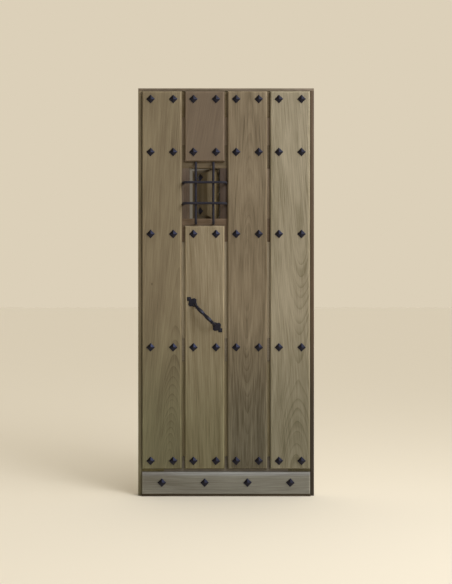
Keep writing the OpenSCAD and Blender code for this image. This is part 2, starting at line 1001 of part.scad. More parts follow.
// headed pins, dropped in from above
module hinge_pins() {
    color(steel)
        for (level = hinge_levels)
            at_hinge(level) {
                translate([0, 0, -hinge_h / 2])
                    cylinder(h = hinge_h, d = pin_d);
                translate([0, 0, hinge_h / 2])
                    cylinder(h = pin_head_h, d = pin_head_d);
            }
}

module jamb_hinge_screws() {
    color(steel)
        hinge_screws(1, jamb_screw_l, false);
}

module door_hinge_screws() {
    color(steel)
        hinge_screws(-1, door_screw_l, false);
}

// lock jamb, rebated so that the leaf's edge closes behind its lip
module lock_jamb() {
    outer = -frame_w / 2;
    seat = -inner_x - lock_rebate;
    color(iroko)
        difference() {
            linear_extrude(frame_h - head_t)
                polygon([
                    [outer, 0], [-inner_x, 0], [-inner_x, lip_d],
                    [seat, lip_d], [seat, frame_d], [outer, frame_d]
                ]);
            fixing_holes(seat, -90);
        }
}

// countersunk holes for wall screws, from the inner face of a jamb out through its back
module fixing_holes(x, turn) {
    deep = fixing_head_r - fixing_d / 2;
    for (z = fixing_z)
        translate([x, fixing_y, z])
            rotate([0, turn, 0]) {
                translate([0, 0, -cut])
                    cylinder(h = jamb_t + 2 * cut, d = fixing_d);
                translate([0, 0, -cut])
                    cylinder(h = deep + cut, r1 = fixing_head_r + cut, r2 = fixing_d / 2);
            }
}

module hinge_jamb() {
    color(iroko)
        difference() {
            block([inner_x, frame_w / 2], [0, frame_d], [0, frame_h - head_t]);
            flap_seats([inner_x - cut, inner_x + flap_seat]);
            hinge_screws(1, jamb_screw_l, true);
            fixing_holes(inner_x, 90);
        }
}

// head, resting on both jambs, with its rebate cut between them
module head() {
    under = frame_h - head_t;
    rebate_x = [-inner_x - lock_rebate, inner_x];
    color(iroko)
        difference() {
            block([-frame_w / 2, frame_w / 2], [0, frame_d], [under, frame_h]);
            block(rebate_x, [lip_d, frame_d + cut], [under - cut, under + head_rebate]);
        }
}

// threshold between the jambs, with a raised stop in front of the leaf
module threshold() {
    leaf_gap = 1;
    color(iroko_dark)
        union() {
            block([-inner_x, inner_x], [-stop_d, frame_d], [0, threshold_h]);
            block([-inner_x - lock_rebate, -inner_x], [lip_d, frame_d], [0, threshold_h]);
            block([-inner_x, inner_x], [-stop_d, -leaf_gap], [0, stop_h]);
        }
}

// section of a bolt guide, standing on a plate at Y = 0 with the bolt's middle at Y = rise
module guide_section(rise, play) {
    outer_r = bolt_d / 2 + guide_wall;
    difference() {
        union() {
            translate([0, rise])
                circle(outer_r);
            translate([-outer_r, 0])
                square([2 * outer_r, rise]);
        }
        translate([0, rise])
            circle(bolt_d / 2 + play);
    }
}

// a guide along X from x, standing on a plate at the given depth
module guide(x, length, base_y, play) {
    translate([x, base_y, bolt_z])
        rotate([90, 0, 90])
            linear_extrude(length)
                rotate(-90)
                    guide_section(bolt_y - base_y, play);
}

module bolt_plate() {
    base_y = frame_d + bolt_plate_t;
    plate_z = [bolt_z - bolt_plate_h / 2, bolt_z + bolt_plate_h / 2];
    color(iron)
        difference() {
            union() {
                block(bolt_plate_x, [frame_d, base_y], plate_z);
                for (x = guide_x)
                    guide(x - guide_l / 2, guide_l, base_y, pin_play);
            }
            bolt_screws(true);
        }
}

// screws that hold the bolt's plate, or the holes for them
module bolt_screws(hole = false) {
    lift = bolt_plate_h / 2 - bolt_screw_edge;
    for (x = bolt_screw_x, side = [-1, 1])
        on_back(x, frame_d + bolt_plate_t, bolt_z + side * lift)
            if (hole)
                screw_hole(bolt_screw_l);
            else
                color(iron)
                    screw(bolt_screw_l);
}

// sliding bolt with a finger knob between its guides
module bolt_bar() {
    knob_x = bolt_plate_mid + knob_shift;
    color(iron)
        union() {
            translate([bolt_x0, bolt_y, bolt_z])
                rotate([0, 90, 0])
                    cylinder(h = bolt_l, d = bolt_d);
            on_back(knob_x, bolt_y, bolt_z) {
                cylinder(h = knob_stem_l, r = knob_stem_r);
                translate([0, 0, knob_stem_l])
                    sphere(d = knob_d);
            }
        }
}

module bolt_keeper() {
    x = -frame_w / 2;
    base_y = frame_d + bolt_plate_t;
    plate_z = [bolt_z - keeper_h / 2, bolt_z + keeper_h / 2];
    color(iron)
        union() {
            block([x, x + keeper_w], [frame_d, base_y], plate_z);
            guide(x, keeper_w, base_y, keeper_play);
        }
}

// turns the shutter about its hinges from closed to where it rests
module ajar() {
    translate([small_axis[0], small_axis[1], 0])
        rotate(-shutter_rest)
            translate([-small_axis[0], -small_axis[1], 0])
                children();
}

// thick board that fills the peephole, with its free edge cut back for the swing
module shutter_board() {
    color(iroko)
        ajar()
            difference() {
                translate([0, 0, shutter_z[0]])
                    linear_extrude(shutter_z[1] - shutter_z[0])
                        polygon([
                            [shutter_x1, 0], [shutter_x1, shutter_back],
                            [shutter_x0, shutter_back], [shutter_edge_x, 0]
                        ]);
                shutter_nail_holes();
                shutter_screws(true);
            }
}

// raised panel with sloping sides, on the outside of the shutter
module shutter_panel() {
    z = window_mid_z - raised_h / 2;
    color(iroko_light)
        ajar()
            difference() {
                intersection() {
                    translate([raised_x, 0, z])
                        linear_extrude(raised_h)
                            raised_section(raised_w);
                    translate([raised_x, 0, window_mid_z])
                        rotate([0, -90, 0])
                            linear_extrude(raised_w, center = true)
                                raised_section(raised_h);
                }
                shutter_nail_holes();
            }
}

module raised_section(width) {
    foot = 3;
    polygon([
        [-width / 2, 0], [width / 2, 0], [width / 2, -foot], [width / 2 - raised_slope, -plank_t],
        [raised_slope - width / 2, -plank_t], [-width / 2, -foot]
    ]);
}

shutter_nail_points = [
    for (side = [-1, 1]) [raised_x, window_mid_z + side * (raised_h / 2 - raised_nail_in)]
];

module shutter_nails() {
    color(iron)
        ajar()
            nails(shutter_nail_points, -plank_t);
}

module shutter_nail_holes() {
    nail_holes(shutter_nail_points, -plank_t, window_x, window_z);
}

// lath on the back of the shutter that stops against the leaf
module shutter_lath() {
    x0 = window_x[0] - lath_lap;
    round_r = 3;
    color(iroko_light)
        ajar()
            translate([0, 0, shutter_z[0]])
                linear_extrude(shutter_z[1] - shutter_z[0])
                    union() {
                        translate([x0, shutter_back])
                            square([lath_w, lath_t - round_r]);
                        translate([x0 + round_r, shutter_back])
                            square([lath_w - 2 * round_r, lath_t]);
                        for (x = [x0 + round_r, x0 + lath_w - round_r])
                            translate([x, shutter_back + lath_t - round_r])
                                circle(round_r);
                    }
}

// one leaf of a shutter hinge round an axis along Z, its plate lying on a face at depth seat
module small_leaf(side, parts, seat) {
    knuckle_r = small_knuckle_d / 2;
    from = knuckle_r + knuckle_play;
    plate_x = side > 0 ? [from, from + small_flap_w] : [-from - small_flap_w, -from];
    web_x = side > 0 ? [0, from + small_flap_t] : [-from - small_flap_t, 0];
    plate_y = [seat - small_axis[1], seat - small_axis[1] + small_flap_t];
    difference() {
        union() {
            block(plate_x, plate_y, [-small_hinge_h / 2, small_hinge_h / 2]);
            for (k = parts) {
                z = knuckle_z(k, small_hinge_h);
                block(web_x, [plate_y[1] - web_bite, plate_y[1] + small_flap_t], z);
                translate([0, 0, z[0]])
                    cylinder(h = z[1] - z[0], r = knuckle_r);
            }
        }
        translate([0, 0, -small_hinge_h])
            cylinder(h = 2 * small_hinge_h, d = small_pin_d + 2 * pin_play);
        small_flap_screws(side, seat, true);
    }
}

module small_flap_screws(side, seat, hole) {
    x = side * (small_knuckle_d / 2 + knuckle_play + small_flap_w - small_screw_in);
    for (z = [-small_screw_pitch / 2, small_screw_pitch / 2])
        on_back(x, seat - small_axis[1] + small_flap_t, z)
            if (hole)
                screw_hole(small_screw_l);
            else
                screw(small_screw_l);
}

module at_small_hinge(level) {
    translate([small_axis[0], small_axis[1], level])
        children();
}

module fixed_screws(hole) {
    for (level = small_levels)
        at_small_hinge(level)
            small_flap_screws(1, frame_d, hole);
}

module fixed_leaf(level) {
    color(steel)
        at_small_hinge(level)
            small_leaf(1, [0, 2], frame_d);
}

module moving_leaf(level) {
    color(steel)
        ajar()
            at_small_hinge(level)
                small_leaf(-1, [1], shutter_back);
}

module shutter_hinge_bottom_fixed_leaf() {
    fixed_leaf(small_levels[0]);
}

module shutter_hinge_top_fixed_leaf() {
    fixed_leaf(small_levels[1]);
}

module shutter_hinge_bottom_leaf() {
    moving_leaf(small_levels[0]);
}

module shutter_hinge_top_leaf() {
    moving_leaf(small_levels[1]);
}

module shutter_hinge_pins() {
    color(steel)
        for (level = small_levels)
            at_small_hinge(level)
                cylinder(h = small_hinge_h, d = small_pin_d, center = true);
}

module fixed_leaf_screws() {
    color(steel)
        fixed_screws(false);
}

// screws of the moving hinge leaves, drawn closed when they are holes
module shutter_screws(hole = false) {
    for (level = small_levels)
        if (hole)
            at_small_hinge(level)
                small_flap_screws(-1, shutter_back, true);
        else
            color(steel)
                ajar()
                    at_small_hinge(level)
                        small_flap_screws(-1, shutter_back, false);
}

// boss and pin that the turn button turns on
module button_pivot() {
    rise = button_y - frame_d;
    color(iron)
        on_back(button_x, frame_d, window_mid_z) {
            translate([0, 0, -button_anchor])
                cylinder(h = button_anchor, r = button_pin_r);
            cylinder(h = rise - pin_play, r = button_boss_r);
            cylinder(h = rise + button_t + button_head_h, r = button_pin_r);
            translate([0, 0, rise + button_t + pin_play])
                cylinder(h = button_head_h, r = button_head_r);
        }
}

module button_hole() {
    on_back(button_x, frame_d, window_mid_z)
        translate([0, 0, -button_anchor - cut])
            cylinder(h = button_anchor + 2 * cut, r = button_pin_r + hole_play);
}

// turn button, upright and clear of the shutter
module shutter_button() {
    reach = button_l / 2 - button_w / 2;
    color(iron)
        on_back(button_x, button_y, window_mid_z)
            linear_extrude(button_t)
                difference() {
                    union() {
                        square([button_w, 2 * reach], center = true);
                        for (side = [-1, 1])
                            translate([0, side * reach])
                                circle(button_w / 2);
                    }
                    circle(button_pin_r + pin_play);
                }
}

lock_jamb();
hinge_jamb();
head();
threshold();
hinge_top_jamb_leaf();
hinge_middle_jamb_leaf();
hinge_bottom_jamb_leaf();
hinge_pins();
jamb_hinge_screws();
bolt_keeper();
lock_stile();
hinge_stile();
top_rail();
upper_rail();
window_rail();
middle_rail();
bottom_rail();
window_stile_left();
window_stile_right();
top_panel();
side_panel_left();
side_panel_right();
middle_panel();
lower_panel();
plank_1();
plank_2_upper();
plank_2_lower();
plank_3();
plank_4();
kickboard();
plank_nails();
kickboard_nails();
hinge_top_door_leaf();
hinge_middle_door_leaf();
hinge_bottom_door_leaf();
door_hinge_screws();
grille_bar_left();
grille_bar_right();
grille_bar_upper();
grille_bar_lower();
handle_bar();
handle_plate_upper();
handle_plate_lower();
handle_nails();
bolt_plate();
bolt_screws();
bolt_bar();
shutter_board();
shutter_panel();
shutter_lath();
shutter_nails();
shutter_hinge_top_fixed_leaf();
shutter_hinge_bottom_fixed_leaf();
shutter_hinge_top_leaf();
shutter_hinge_bottom_leaf();
shutter_hinge_pins();
fixed_leaf_screws();
shutter_screws();
button_pivot();
shutter_button();
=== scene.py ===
"""Looks of a Castilian plank door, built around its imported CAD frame.

The planks, the kickboard, the nail heads, the grille's bars and the twisted pull are remade as worked
surfaces, and every other piece keeps its CAD shape with softened edges. All of it is dressed in iroko,
forged iron and plain steel. Lengths in this file are millimetres, and MM takes them to Blender's metres.
"""

from __future__ import annotations

import logging
import math
from dataclasses import dataclass, field
from enum import Enum

import bmesh
import bpy
import numpy as np
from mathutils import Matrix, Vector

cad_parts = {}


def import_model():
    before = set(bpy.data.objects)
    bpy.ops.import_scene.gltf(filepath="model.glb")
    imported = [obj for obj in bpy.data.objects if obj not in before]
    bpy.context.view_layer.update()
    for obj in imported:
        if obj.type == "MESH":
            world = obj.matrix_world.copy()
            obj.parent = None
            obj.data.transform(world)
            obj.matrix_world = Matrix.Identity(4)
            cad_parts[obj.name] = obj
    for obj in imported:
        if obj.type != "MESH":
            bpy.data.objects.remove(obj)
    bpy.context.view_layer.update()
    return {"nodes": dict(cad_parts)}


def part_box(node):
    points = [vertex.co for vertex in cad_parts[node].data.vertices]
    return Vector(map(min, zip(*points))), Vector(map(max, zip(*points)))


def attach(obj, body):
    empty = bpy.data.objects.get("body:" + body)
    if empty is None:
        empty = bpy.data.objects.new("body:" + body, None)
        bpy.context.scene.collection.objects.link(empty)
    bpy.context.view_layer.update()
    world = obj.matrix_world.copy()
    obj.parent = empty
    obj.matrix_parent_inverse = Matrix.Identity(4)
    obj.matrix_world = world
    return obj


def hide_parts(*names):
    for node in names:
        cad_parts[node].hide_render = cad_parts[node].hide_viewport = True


LOG = logging.getLogger("door")
MM = 0.001
# Mesh attribute, from 0 to 1, that pales the arrises of the boards: partly wax rubbed off, partly a painted
# highlight.
WORN_AND_HIGHLIGHT = "worn"

# Width, depth and length of the marks in iroko. Its real pores are about 0.3 mm wide and its fibres finer
# still: both are drawn wider than that, so that they show.
FIBRE = (1.7, 1.7, 120.0)
PORE = (1.1, 1.1, 16.0)
FLAME = (4.4, 4.4, 150.0)
CLOUD = (150.0, 150.0, 520.0)
# The same for the slow bends of its growth lines, sideways and in depth.
BEND_X = (170.0, 170.0, 900.0)
BEND_Y = (240.0, 240.0, 620.0)
# Width across the rings and length along the board of its broad and its narrow streaks.
STREAKS = ((26.0, 700.0), (6.0, 240.0))

Point = tuple[float, float, float]
Span = tuple[float, float]
Faces = list[list[int]]


class Grain(Enum):
    """Which way the fibres of a board run, as the turn about Y that brings them upright."""

    UPRIGHT = 0.0
    LEVEL = -math.pi / 2


def to_linear(colour: str) -> tuple[float, float, float, float]:
    """Turns an sRGB hex colour into linear light.

    Args:
        colour: six hex digits after a hash sign.

    Returns:
        Red, green, blue and an alpha of one, as a shader socket takes them.
    """
    parts = np.array([int(colour[i : i + 2], 16) for i in (1, 3, 5)]) / 255
    linear = np.where(parts <= 0.04045, parts / 12.92, ((parts + 0.055) / 1.055) ** 2.4)
    return (float(linear[0]), float(linear[1]), float(linear[2]), 1.0)


def add(
    tree: bpy.types.NodeTree, kind: str, links: dict[int | str, object], output: int | str = 0, **settings: object
) -> bpy.types.NodeSocket | None:
    """Adds one node to a tree.

    Args:
        tree: tree that takes the node.
        kind: Blender's name for the kind of node.
        links: for each input, by name or number, a socket to link or a value to set.
        output: which of the node's outputs is wanted, by name or number.
        settings: properties of the node itself.

    Returns:
        The wanted output, or None where the node has none.
    """
    node = tree.nodes.new(kind)
    for name, value in settings.items():
        setattr(node, name, value)
    for key, value in links.items():
        if isinstance(value, bpy.types.NodeSocket):
            tree.links.new(value, node.inputs[key])
        else:
            node.inputs[key].default_value = value
    return node.outputs[output] if len(node.outputs) else None


@dataclass(frozen=True)
class Iroko:
    """Iroko, planed and waxed, then weathered: olive brown, with dark growth lines and short pores.

    The eye sees a soft sheen along the fibres, thin dark lines that run up the board or close into arches,
    and a greener, darker foot. The growth lines are the year rings of a log, cut by the board. A point's ring
    is its distance from the pith, which lies pith_x beside and pith_depth behind the middle of the board. A
    swelling of the log moves the pith away over part of the length, and there the lines close into arches.
    Up to lean_z the pith also leans to one side.
    """

    name: str
    light: str
    dark: str
    foot: str = "#FFFFFF"
    grain: Grain = Grain.UPRIGHT
    tilt: float = 0.0
    middle: Point = (0.0, 0.0, 0.0)
    pith_x: float = 0.0
    pith_depth: float = 150.0
    swell: float = 0.0
    swell_z: float = 700.0
    swell_l: float = 420.0
    lean: float = 0.0
    lean_z: float = 1250.0
    ring: float = 4.2
    line: float = 0.3
    streak: float = 0.5
    bold: float = 1.0
    foot_z: Span = (1100.0, 250.0)
    knots: tuple[Point, ...] = ()
    wander: float = 60.0
    wave: float = 24.0
    seed: float = 0.0
    gloss: float = 0.3
    relief: float = 0.5

    def material(self) -> bpy.types.Material:
        """Builds the shader.

        Returns:
            The material, with its colour, gloss and pores worked out from Object coordinates.
        """
        made = bpy.data.materials.new(self.name)
        made.use_nodes = True
        tree = made.node_tree
        shader = tree.nodes["Principled BSDF"]
        coordinate = add(tree, "ShaderNodeTexCoord", {}, "Object")
        shift = tuple(-v * MM for v in self.middle)
        centred = add(tree, "ShaderNodeVectorMath", {0: coordinate, 1: shift}, operation="ADD")
        turn = (0, self.grain.value + math.radians(self.tilt), 0)
        place = {"Vector": centred, "Rotation": turn, "Scale": (1 / MM,) * 3}
        place = add(tree, "ShaderNodeMapping", place)
        fibre = self._specks(tree, place, FIBRE, 3)
        pore = self._specks(tree, place, PORE, 1)
        pore = add(tree, "ShaderNodeMapRange", {0: pore, 1: 0.62, 2: 0.74}, interpolation_type="SMOOTHSTEP")
        tone = self._tone(tree, place)
        tone = add(tree, "ShaderNodeMath", {0: fibre, 1: 0.55, 2: tone}, operation="MULTIPLY_ADD")
        tone = add(tree, "ShaderNodeMath", {0: pore, 1: 0.16, 2: tone}, operation="MULTIPLY_ADD")
        ends = {0: tone, 6: to_linear(self.light), 7: to_linear(self.dark)}
        wood = add(tree, "ShaderNodeMix", ends, 2, data_type="RGBA", clamp_factor=True)
        tree.links.new(self._weathered_and_highlit(tree, wood, coordinate), shader.inputs["Base Color"])
        rough = add(tree, "ShaderNodeMath", {0: fibre, 1: 0.22, 2: 0.45}, operation="MULTIPLY_ADD")
        tree.links.new(rough, shader.inputs["Roughness"])
        shader.inputs["Specular IOR Level"].default_value = self.gloss
        height = add(tree, "ShaderNodeMath", {0: pore, 1: -0.8, 2: fibre}, operation="MULTIPLY_ADD")
        bump = {"Height": height, "Strength": 0.35, "Distance": self.relief * MM}
        tree.links.new(add(tree, "ShaderNodeBump", bump), shader.inputs["Normal"])
        return made

    def _specks(
        self, tree: bpy.types.NodeTree, place: bpy.types.NodeSocket, size: Point, detail: float
    ) -> bpy.types.NodeSocket:
        """Noise whose specks are size millimetres long each way, shifted by the board's seed.

        Args:
            tree: tree of the material.
            place: position in the board, in millimetres.
            size: length of a speck along each axis.
            detail: number of finer layers.

        Returns:
            The noise, about 0.5 on average.
        """
        shift = (self.seed, 2 * self.seed, 3 * self.seed)
        near = {"Vector": place, "Location": shift, "Scale": tuple(1 / v for v in size)}
        near = add(tree, "ShaderNodeMapping", near)
        noise = {"Vector": near, "Scale": 1.0, "Detail": detail, "Roughness": 0.55}
        return add(tree, "ShaderNodeTexNoise", noise)

    def _ring(self, tree: bpy.types.NodeTree, place: bpy.types.NodeSocket) -> bpy.types.NodeSocket:
        """Distance from the leaning pith, wavy along the board, with a bell-shaped swelling over part of it.

        Args:
            tree: tree of the material.
            place: position in the board, in millimetres.

        Returns:
            The socket with the distance in millimetres.
        """
        x, y, z = add(tree, "ShaderNodeSeparateXYZ", {0: place}).node.outputs
        wave_x = self._specks(tree, place, BEND_X, 2)
        wave_y = self._specks(tree, place, BEND_Y, 1)
        across = add(tree, "ShaderNodeMath", {0: x, 1: -self.pith_x - 0.5 * self.wander}, operation="ADD")
        across = add(tree, "ShaderNodeMath", {0: wave_x, 1: self.wander, 2: across}, operation="MULTIPLY_ADD")
        low = add(tree, "ShaderNodeMath", {0: z, 1: self.lean_z}, operation="MINIMUM")
        across = add(tree, "ShaderNodeMath", {0: low, 1: -self.lean, 2: across}, operation="MULTIPLY_ADD")
        far = add(tree, "ShaderNodeMath", {0: z, 1: -self.swell_z}, operation="ADD")
        far = add(tree, "ShaderNodeMath", {0: far, 1: self.swell_l}, operation="DIVIDE")
        far = add(tree, "ShaderNodeMath", {0: far, 1: 2.0}, operation="POWER")
        bell = add(tree, "ShaderNodeMath", {0: math.exp(-1), 1: far}, operation="POWER")
        depth = add(tree, "ShaderNodeMath", {0: y, 1: self.pith_depth - 0.5 * self.wave}, operation="ADD")
        depth = add(tree, "ShaderNodeMath", {0: bell, 1: self.swell, 2: depth}, operation="MULTIPLY_ADD")
        depth = add(tree, "ShaderNodeMath", {0: wave_y, 1: self.wave, 2: depth}, operation="MULTIPLY_ADD")
        flat = add(tree, "ShaderNodeCombineXYZ", {0: across, 1: depth})
        return add(tree, "ShaderNodeVectorMath", {0: flat}, "Value", operation="LENGTH")

    def _tone(self, tree: bpy.types.NodeTree, place: bpy.types.NodeSocket) -> bpy.types.NodeSocket:
        """How dark the wood is: streaks and flames along the grain, clouds, and the line that closes each year.

        A year's line is the third power of the part of the year that has passed, and shows best where the
        clouds are dark. The streaks grow bolder toward the foot.

        Args:
            tree: tree of the material.
            place: position in the board, in millimetres.

        Returns:
            The socket with the darkness, 0 where the wood is light.
        """
        ring = self._ring(tree, place)
        along = add(tree, "ShaderNodeSeparateXYZ", {0: place}, 2)
        bands = []
        for width, length in STREAKS:
            w = add(tree, "ShaderNodeMath", {0: ring, 1: 1 / width, 2: self.seed}, operation="MULTIPLY_ADD")
            v = add(tree, "ShaderNodeMath", {0: along, 1: 1 / length, 2: self.seed}, operation="MULTIPLY_ADD")
            noise = {"Vector": add(tree, "ShaderNodeCombineXYZ", {0: w, 1: v}), "Scale": 1.0, "Detail": 2.0}
            bands.append(add(tree, "ShaderNodeTexNoise", noise, noise_dimensions="2D"))
        broad, narrow = bands
        cloud = self._specks(tree, place, CLOUD, 2)
        flame = self._specks(tree, place, FLAME, 2)
        year = add(tree, "ShaderNodeMath", {0: ring, 1: self.ring}, operation="DIVIDE")
        year = add(tree, "ShaderNodeMath", {0: narrow, 1: 1.2, 2: year}, operation="MULTIPLY_ADD")
        edge = add(tree, "ShaderNodeMath", {0: year}, operation="FRACT")
        edge = add(tree, "ShaderNodeMath", {0: edge, 1: 3.0}, operation="POWER")
        shown = {0: cloud, 1: 0.36, 2: 0.62, 3: 0.3 * self.line, 4: self.line}
        shown = add(tree, "ShaderNodeMapRange", shown)
        edge = add(tree, "ShaderNodeMath", {0: edge, 1: shown}, operation="MULTIPLY")
        shares = ((broad, 0.7), (narrow, 0.6), (flame, 1.25))
        streaks = -0.5 * sum(share for _, share in shares)
        for band, share in shares:
            streaks = add(tree, "ShaderNodeMath", {0: band, 1: share, 2: streaks}, operation="MULTIPLY_ADD")
        span = {0: along, 1: self.foot_z[0], 2: self.foot_z[1], 3: self.streak, 4: self.streak * self.bold}
        strength = add(tree, "ShaderNodeMapRange", span)
        tone = add(tree, "ShaderNodeMath", {0: streaks, 1: strength, 2: edge}, operation="MULTIPLY_ADD")
        tone = add(tree, "ShaderNodeMath", {0: cloud, 1: 0.6, 2: tone}, operation="MULTIPLY_ADD")
        tone = add(tree, "ShaderNodeMath", {0: tone, 1: -0.05}, operation="ADD")
        for x, z, radius in self.knots:
            off = add(tree, "ShaderNodeVectorMath", {0: place, 1: (-x, 0.0, -z)}, operation="ADD")
            off = add(tree, "ShaderNodeVectorMath", {0: off, 1: (1.0, 0.0, 0.6)}, operation="MULTIPLY")
            off = add(tree, "ShaderNodeVectorMath", {0: off}, "Value", operation="LENGTH")
            spot = add(tree, "ShaderNodeMapRange", {0: off, 1: radius, 2: 0.3 * radius, 3: 0.0, 4: 1.2})
            tone = add(tree, "ShaderNodeMath", {0: tone, 1: spot}, operation="ADD")
        return tone

    def _weathered_and_highlit(
        self, tree: bpy.types.NodeTree, wood: bpy.types.NodeSocket, coordinate: bpy.types.NodeSocket
    ) -> bpy.types.NodeSocket:
        """Takes the wood over to its darker, greener foot, between two heights, and pales its arrises, partly for
        wear and partly as a painted highlight. On the kickboard the same two heights leave its sloping top paler
        than its face, a painted highlight where it faces up.

        Args:
            tree: tree of the material.
            wood: colour of the sound wood.
            coordinate: Object coordinates, in metres.

        Returns:
            The socket with the weathered colour and its painted highlights.
        """
        height = add(tree, "ShaderNodeSeparateXYZ", {0: coordinate}, 2)
        span = {0: height, 1: self.foot_z[0] * MM, 2: self.foot_z[1] * MM}
        fade = add(tree, "ShaderNodeMapRange", span, interpolation_type="SMOOTHSTEP")
        mixed = {0: fade, 6: wood, 7: to_linear(self.foot)}
        faded = add(tree, "ShaderNodeMix", mixed, 2, data_type="RGBA", blend_type="MULTIPLY")
        # Paler arrises: partly wear, partly a painted highlight.
        worn = add(tree, "ShaderNodeAttribute", {}, "Fac", attribute_name=WORN_AND_HIGHLIGHT)
        wear_and_highlight_gain = add(tree, "ShaderNodeMath", {0: worn, 1: 0.45, 2: 1.0}, operation="MULTIPLY_ADD")
        return add(tree, "ShaderNodeVectorMath", {0: faded, "Scale": wear_and_highlight_gain}, operation="SCALE")


@dataclass(frozen=True)
class Iron:
    """Iron, hammered hot and blacked: near black, faintly blue and dull, with soft hammer marks.

    The eye sees a broken, bluish sheen on the facets that face the light, and paler specks where the black
    has worn. A brighter colour and more metal make it the plain steel of hinges and screws.
    """

    name: str
    colour: str = "#2A2930"
    worn: str = "#3B3A43"
    rough: float = 0.5
    gloss: float = 0.16
    tint: str = "#A9B4D8"
    metal: float = 0.0
    mark: float = 11.0
    speck: float = 20 / 7
    depth: float = 0.35

    def material(self) -> bpy.types.Material:
        """Builds the shader: hammer marks mark millimetres wide, and specks where the black has worn.

        Returns:
            The material.
        """
        made = bpy.data.materials.new(self.name)
        made.use_nodes = True
        tree = made.node_tree
        shader = tree.nodes["Principled BSDF"]
        coordinate = add(tree, "ShaderNodeTexCoord", {}, "Object")
        place = add(tree, "ShaderNodeMapping", {"Vector": coordinate, "Scale": (1 / MM,) * 3})
        cell = {"Vector": place, "Scale": 1 / self.mark, "Smoothness": 0.6}
        marks = add(tree, "ShaderNodeTexVoronoi", cell, feature="SMOOTH_F1")
        specks = {"Vector": place, "Scale": 1 / self.speck, "Detail": 4.0, "Roughness": 0.65}
        specks = add(tree, "ShaderNodeTexNoise", specks)
        rubbed = {0: specks, 1: 0.48, 2: 0.78}
        rubbed = add(tree, "ShaderNodeMapRange", rubbed, interpolation_type="SMOOTHSTEP")
        ends = {0: rubbed, 6: to_linear(self.colour), 7: to_linear(self.worn)}
        colour = add(tree, "ShaderNodeMix", ends, 2, data_type="RGBA")
        tree.links.new(colour, shader.inputs["Base Color"])
        shader.inputs["Metallic"].default_value = self.metal
        shader.inputs["Specular IOR Level"].default_value = self.gloss
        shader.inputs["Specular Tint"].default_value = to_linear(self.tint)
        rough = {0: specks, 1: 0.3, 2: self.rough - 0.15}
        rough = add(tree, "ShaderNodeMath", rough, operation="MULTIPLY_ADD")
        tree.links.new(rough, shader.inputs["Roughness"])
        height = add(tree, "ShaderNodeMath", {0: specks, 1: 0.25, 2: marks}, operation="MULTIPLY_ADD")
        bump = {"Height": height, "Strength": 0.5, "Distance": self.depth * MM}
        tree.links.new(add(tree, "ShaderNodeBump", bump), shader.inputs["Normal"])
        return made


def lattice_noise(u: np.ndarray, v: np.ndarray, seed: int) -> np.ndarray:
    """Smooth noise: random values at whole numbers of u and v, eased from one to the next.

    Args:
        u: first coordinate of each point, 0 or more.
        v: second coordinate of each point, 0 or more.
        seed: picks the random values.

    Returns:
        A value for each point, between -1 and 1.
    """
    side = 64
    table = np.random.default_rng(seed).uniform(-1, 1, (side, side))
    i, j = np.floor(u).astype(int), np.floor(v).astype(int)
    s, t = u - i, v - j
    s, t = s * s * (3 - 2 * s), t * t * (3 - 2 * t)
    i, j, i1, j1 = i % side, j % side, (i + 1) % side, (j + 1) % side
    low = table[i, j] * (1 - s) + table[i1, j] * s
    high = table[i, j1] * (1 - s) + table[i1, j1] * s
    return low * (1 - t) + high * t


def grid_faces(rows: int, columns: int, wrap: bool = False) -> np.ndarray:
    """Quads of a grid of points, numbered row by row.

    Args:
        rows: number of rows of points.
        columns: number of points in a row.
        wrap: whether the last column joins the first.

    Returns:
        Four point numbers for each quad.
    """
    across = columns if wrap else columns - 1
    i, j = np.meshgrid(np.arange(rows - 1), np.arange(across), indexing="ij")
    k = (j + 1) % columns
    here, there = i * columns, (i + 1) * columns
    return np.stack([here + j, here + k, there + k, there + j], -1).reshape(-1, 4)


def grid_border(rows: int, columns: int) -> np.ndarray:
    """Points round the border of a grid, in order.

    Args:
        rows: number of rows of points.
        columns: number of points in a row.

    Returns:
        Their numbers, from the first corner all the way round.
    """
    number = np.arange(rows * columns).reshape(rows, columns)
    return np.concatenate([number[0, :-1], number[:-1, -1], number[-1, :0:-1], number[:0:-1, 0]])


def ring_faces(one: np.ndarray, other: np.ndarray) -> np.ndarray:
    """Quads between two closed rings of points.

    Args:
        one: point numbers of the first ring.
        other: as many point numbers of the second ring.

    Returns:
        Four point numbers for each quad.
    """
    return np.stack([one, np.roll(one, -1), np.roll(other, -1), other], -1)


def tube_faces(rows: int, columns: int) -> Faces:
    """Faces of a tube of rings of points, with flat ends.

    Args:
        rows: number of rings.
        columns: number of points in a ring.

    Returns:
        Point numbers of each face.
    """
    first = np.arange(columns)
    ends = [first[::-1].tolist(), (first + (rows - 1) * columns).tolist()]
    return [*grid_faces(rows, columns, wrap=True).tolist(), *ends]


def new_piece(
    name: str, points: np.ndarray, faces: Faces, finish: bpy.types.Material, body: str
) -> bpy.types.Object:
    """Makes a mesh object that rides on a body.

    Args:
        name: name of the piece.
        points: its corners in millimetres.
        faces: point numbers of each face.
        finish: its material.
        body: CAD body that it moves with.

    Returns:
        The new object, smooth where its faces meet at under 40 degrees.
    """
    mesh = bpy.data.meshes.new(name)
    mesh.from_pydata((points * MM).tolist(), [], faces)
    shape = bmesh.new()
    shape.from_mesh(mesh)
    bmesh.ops.recalc_face_normals(shape, faces=shape.faces)
    shape.to_mesh(mesh)
    shape.free()
    mesh.materials.append(finish)
    piece = bpy.data.objects.new(name, mesh)
    bpy.context.scene.collection.objects.link(piece)
    smooth(piece, 40)
    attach(piece, body)
    LOG.info("%s: %d points, %d faces", name, len(points), len(faces))
    return piece


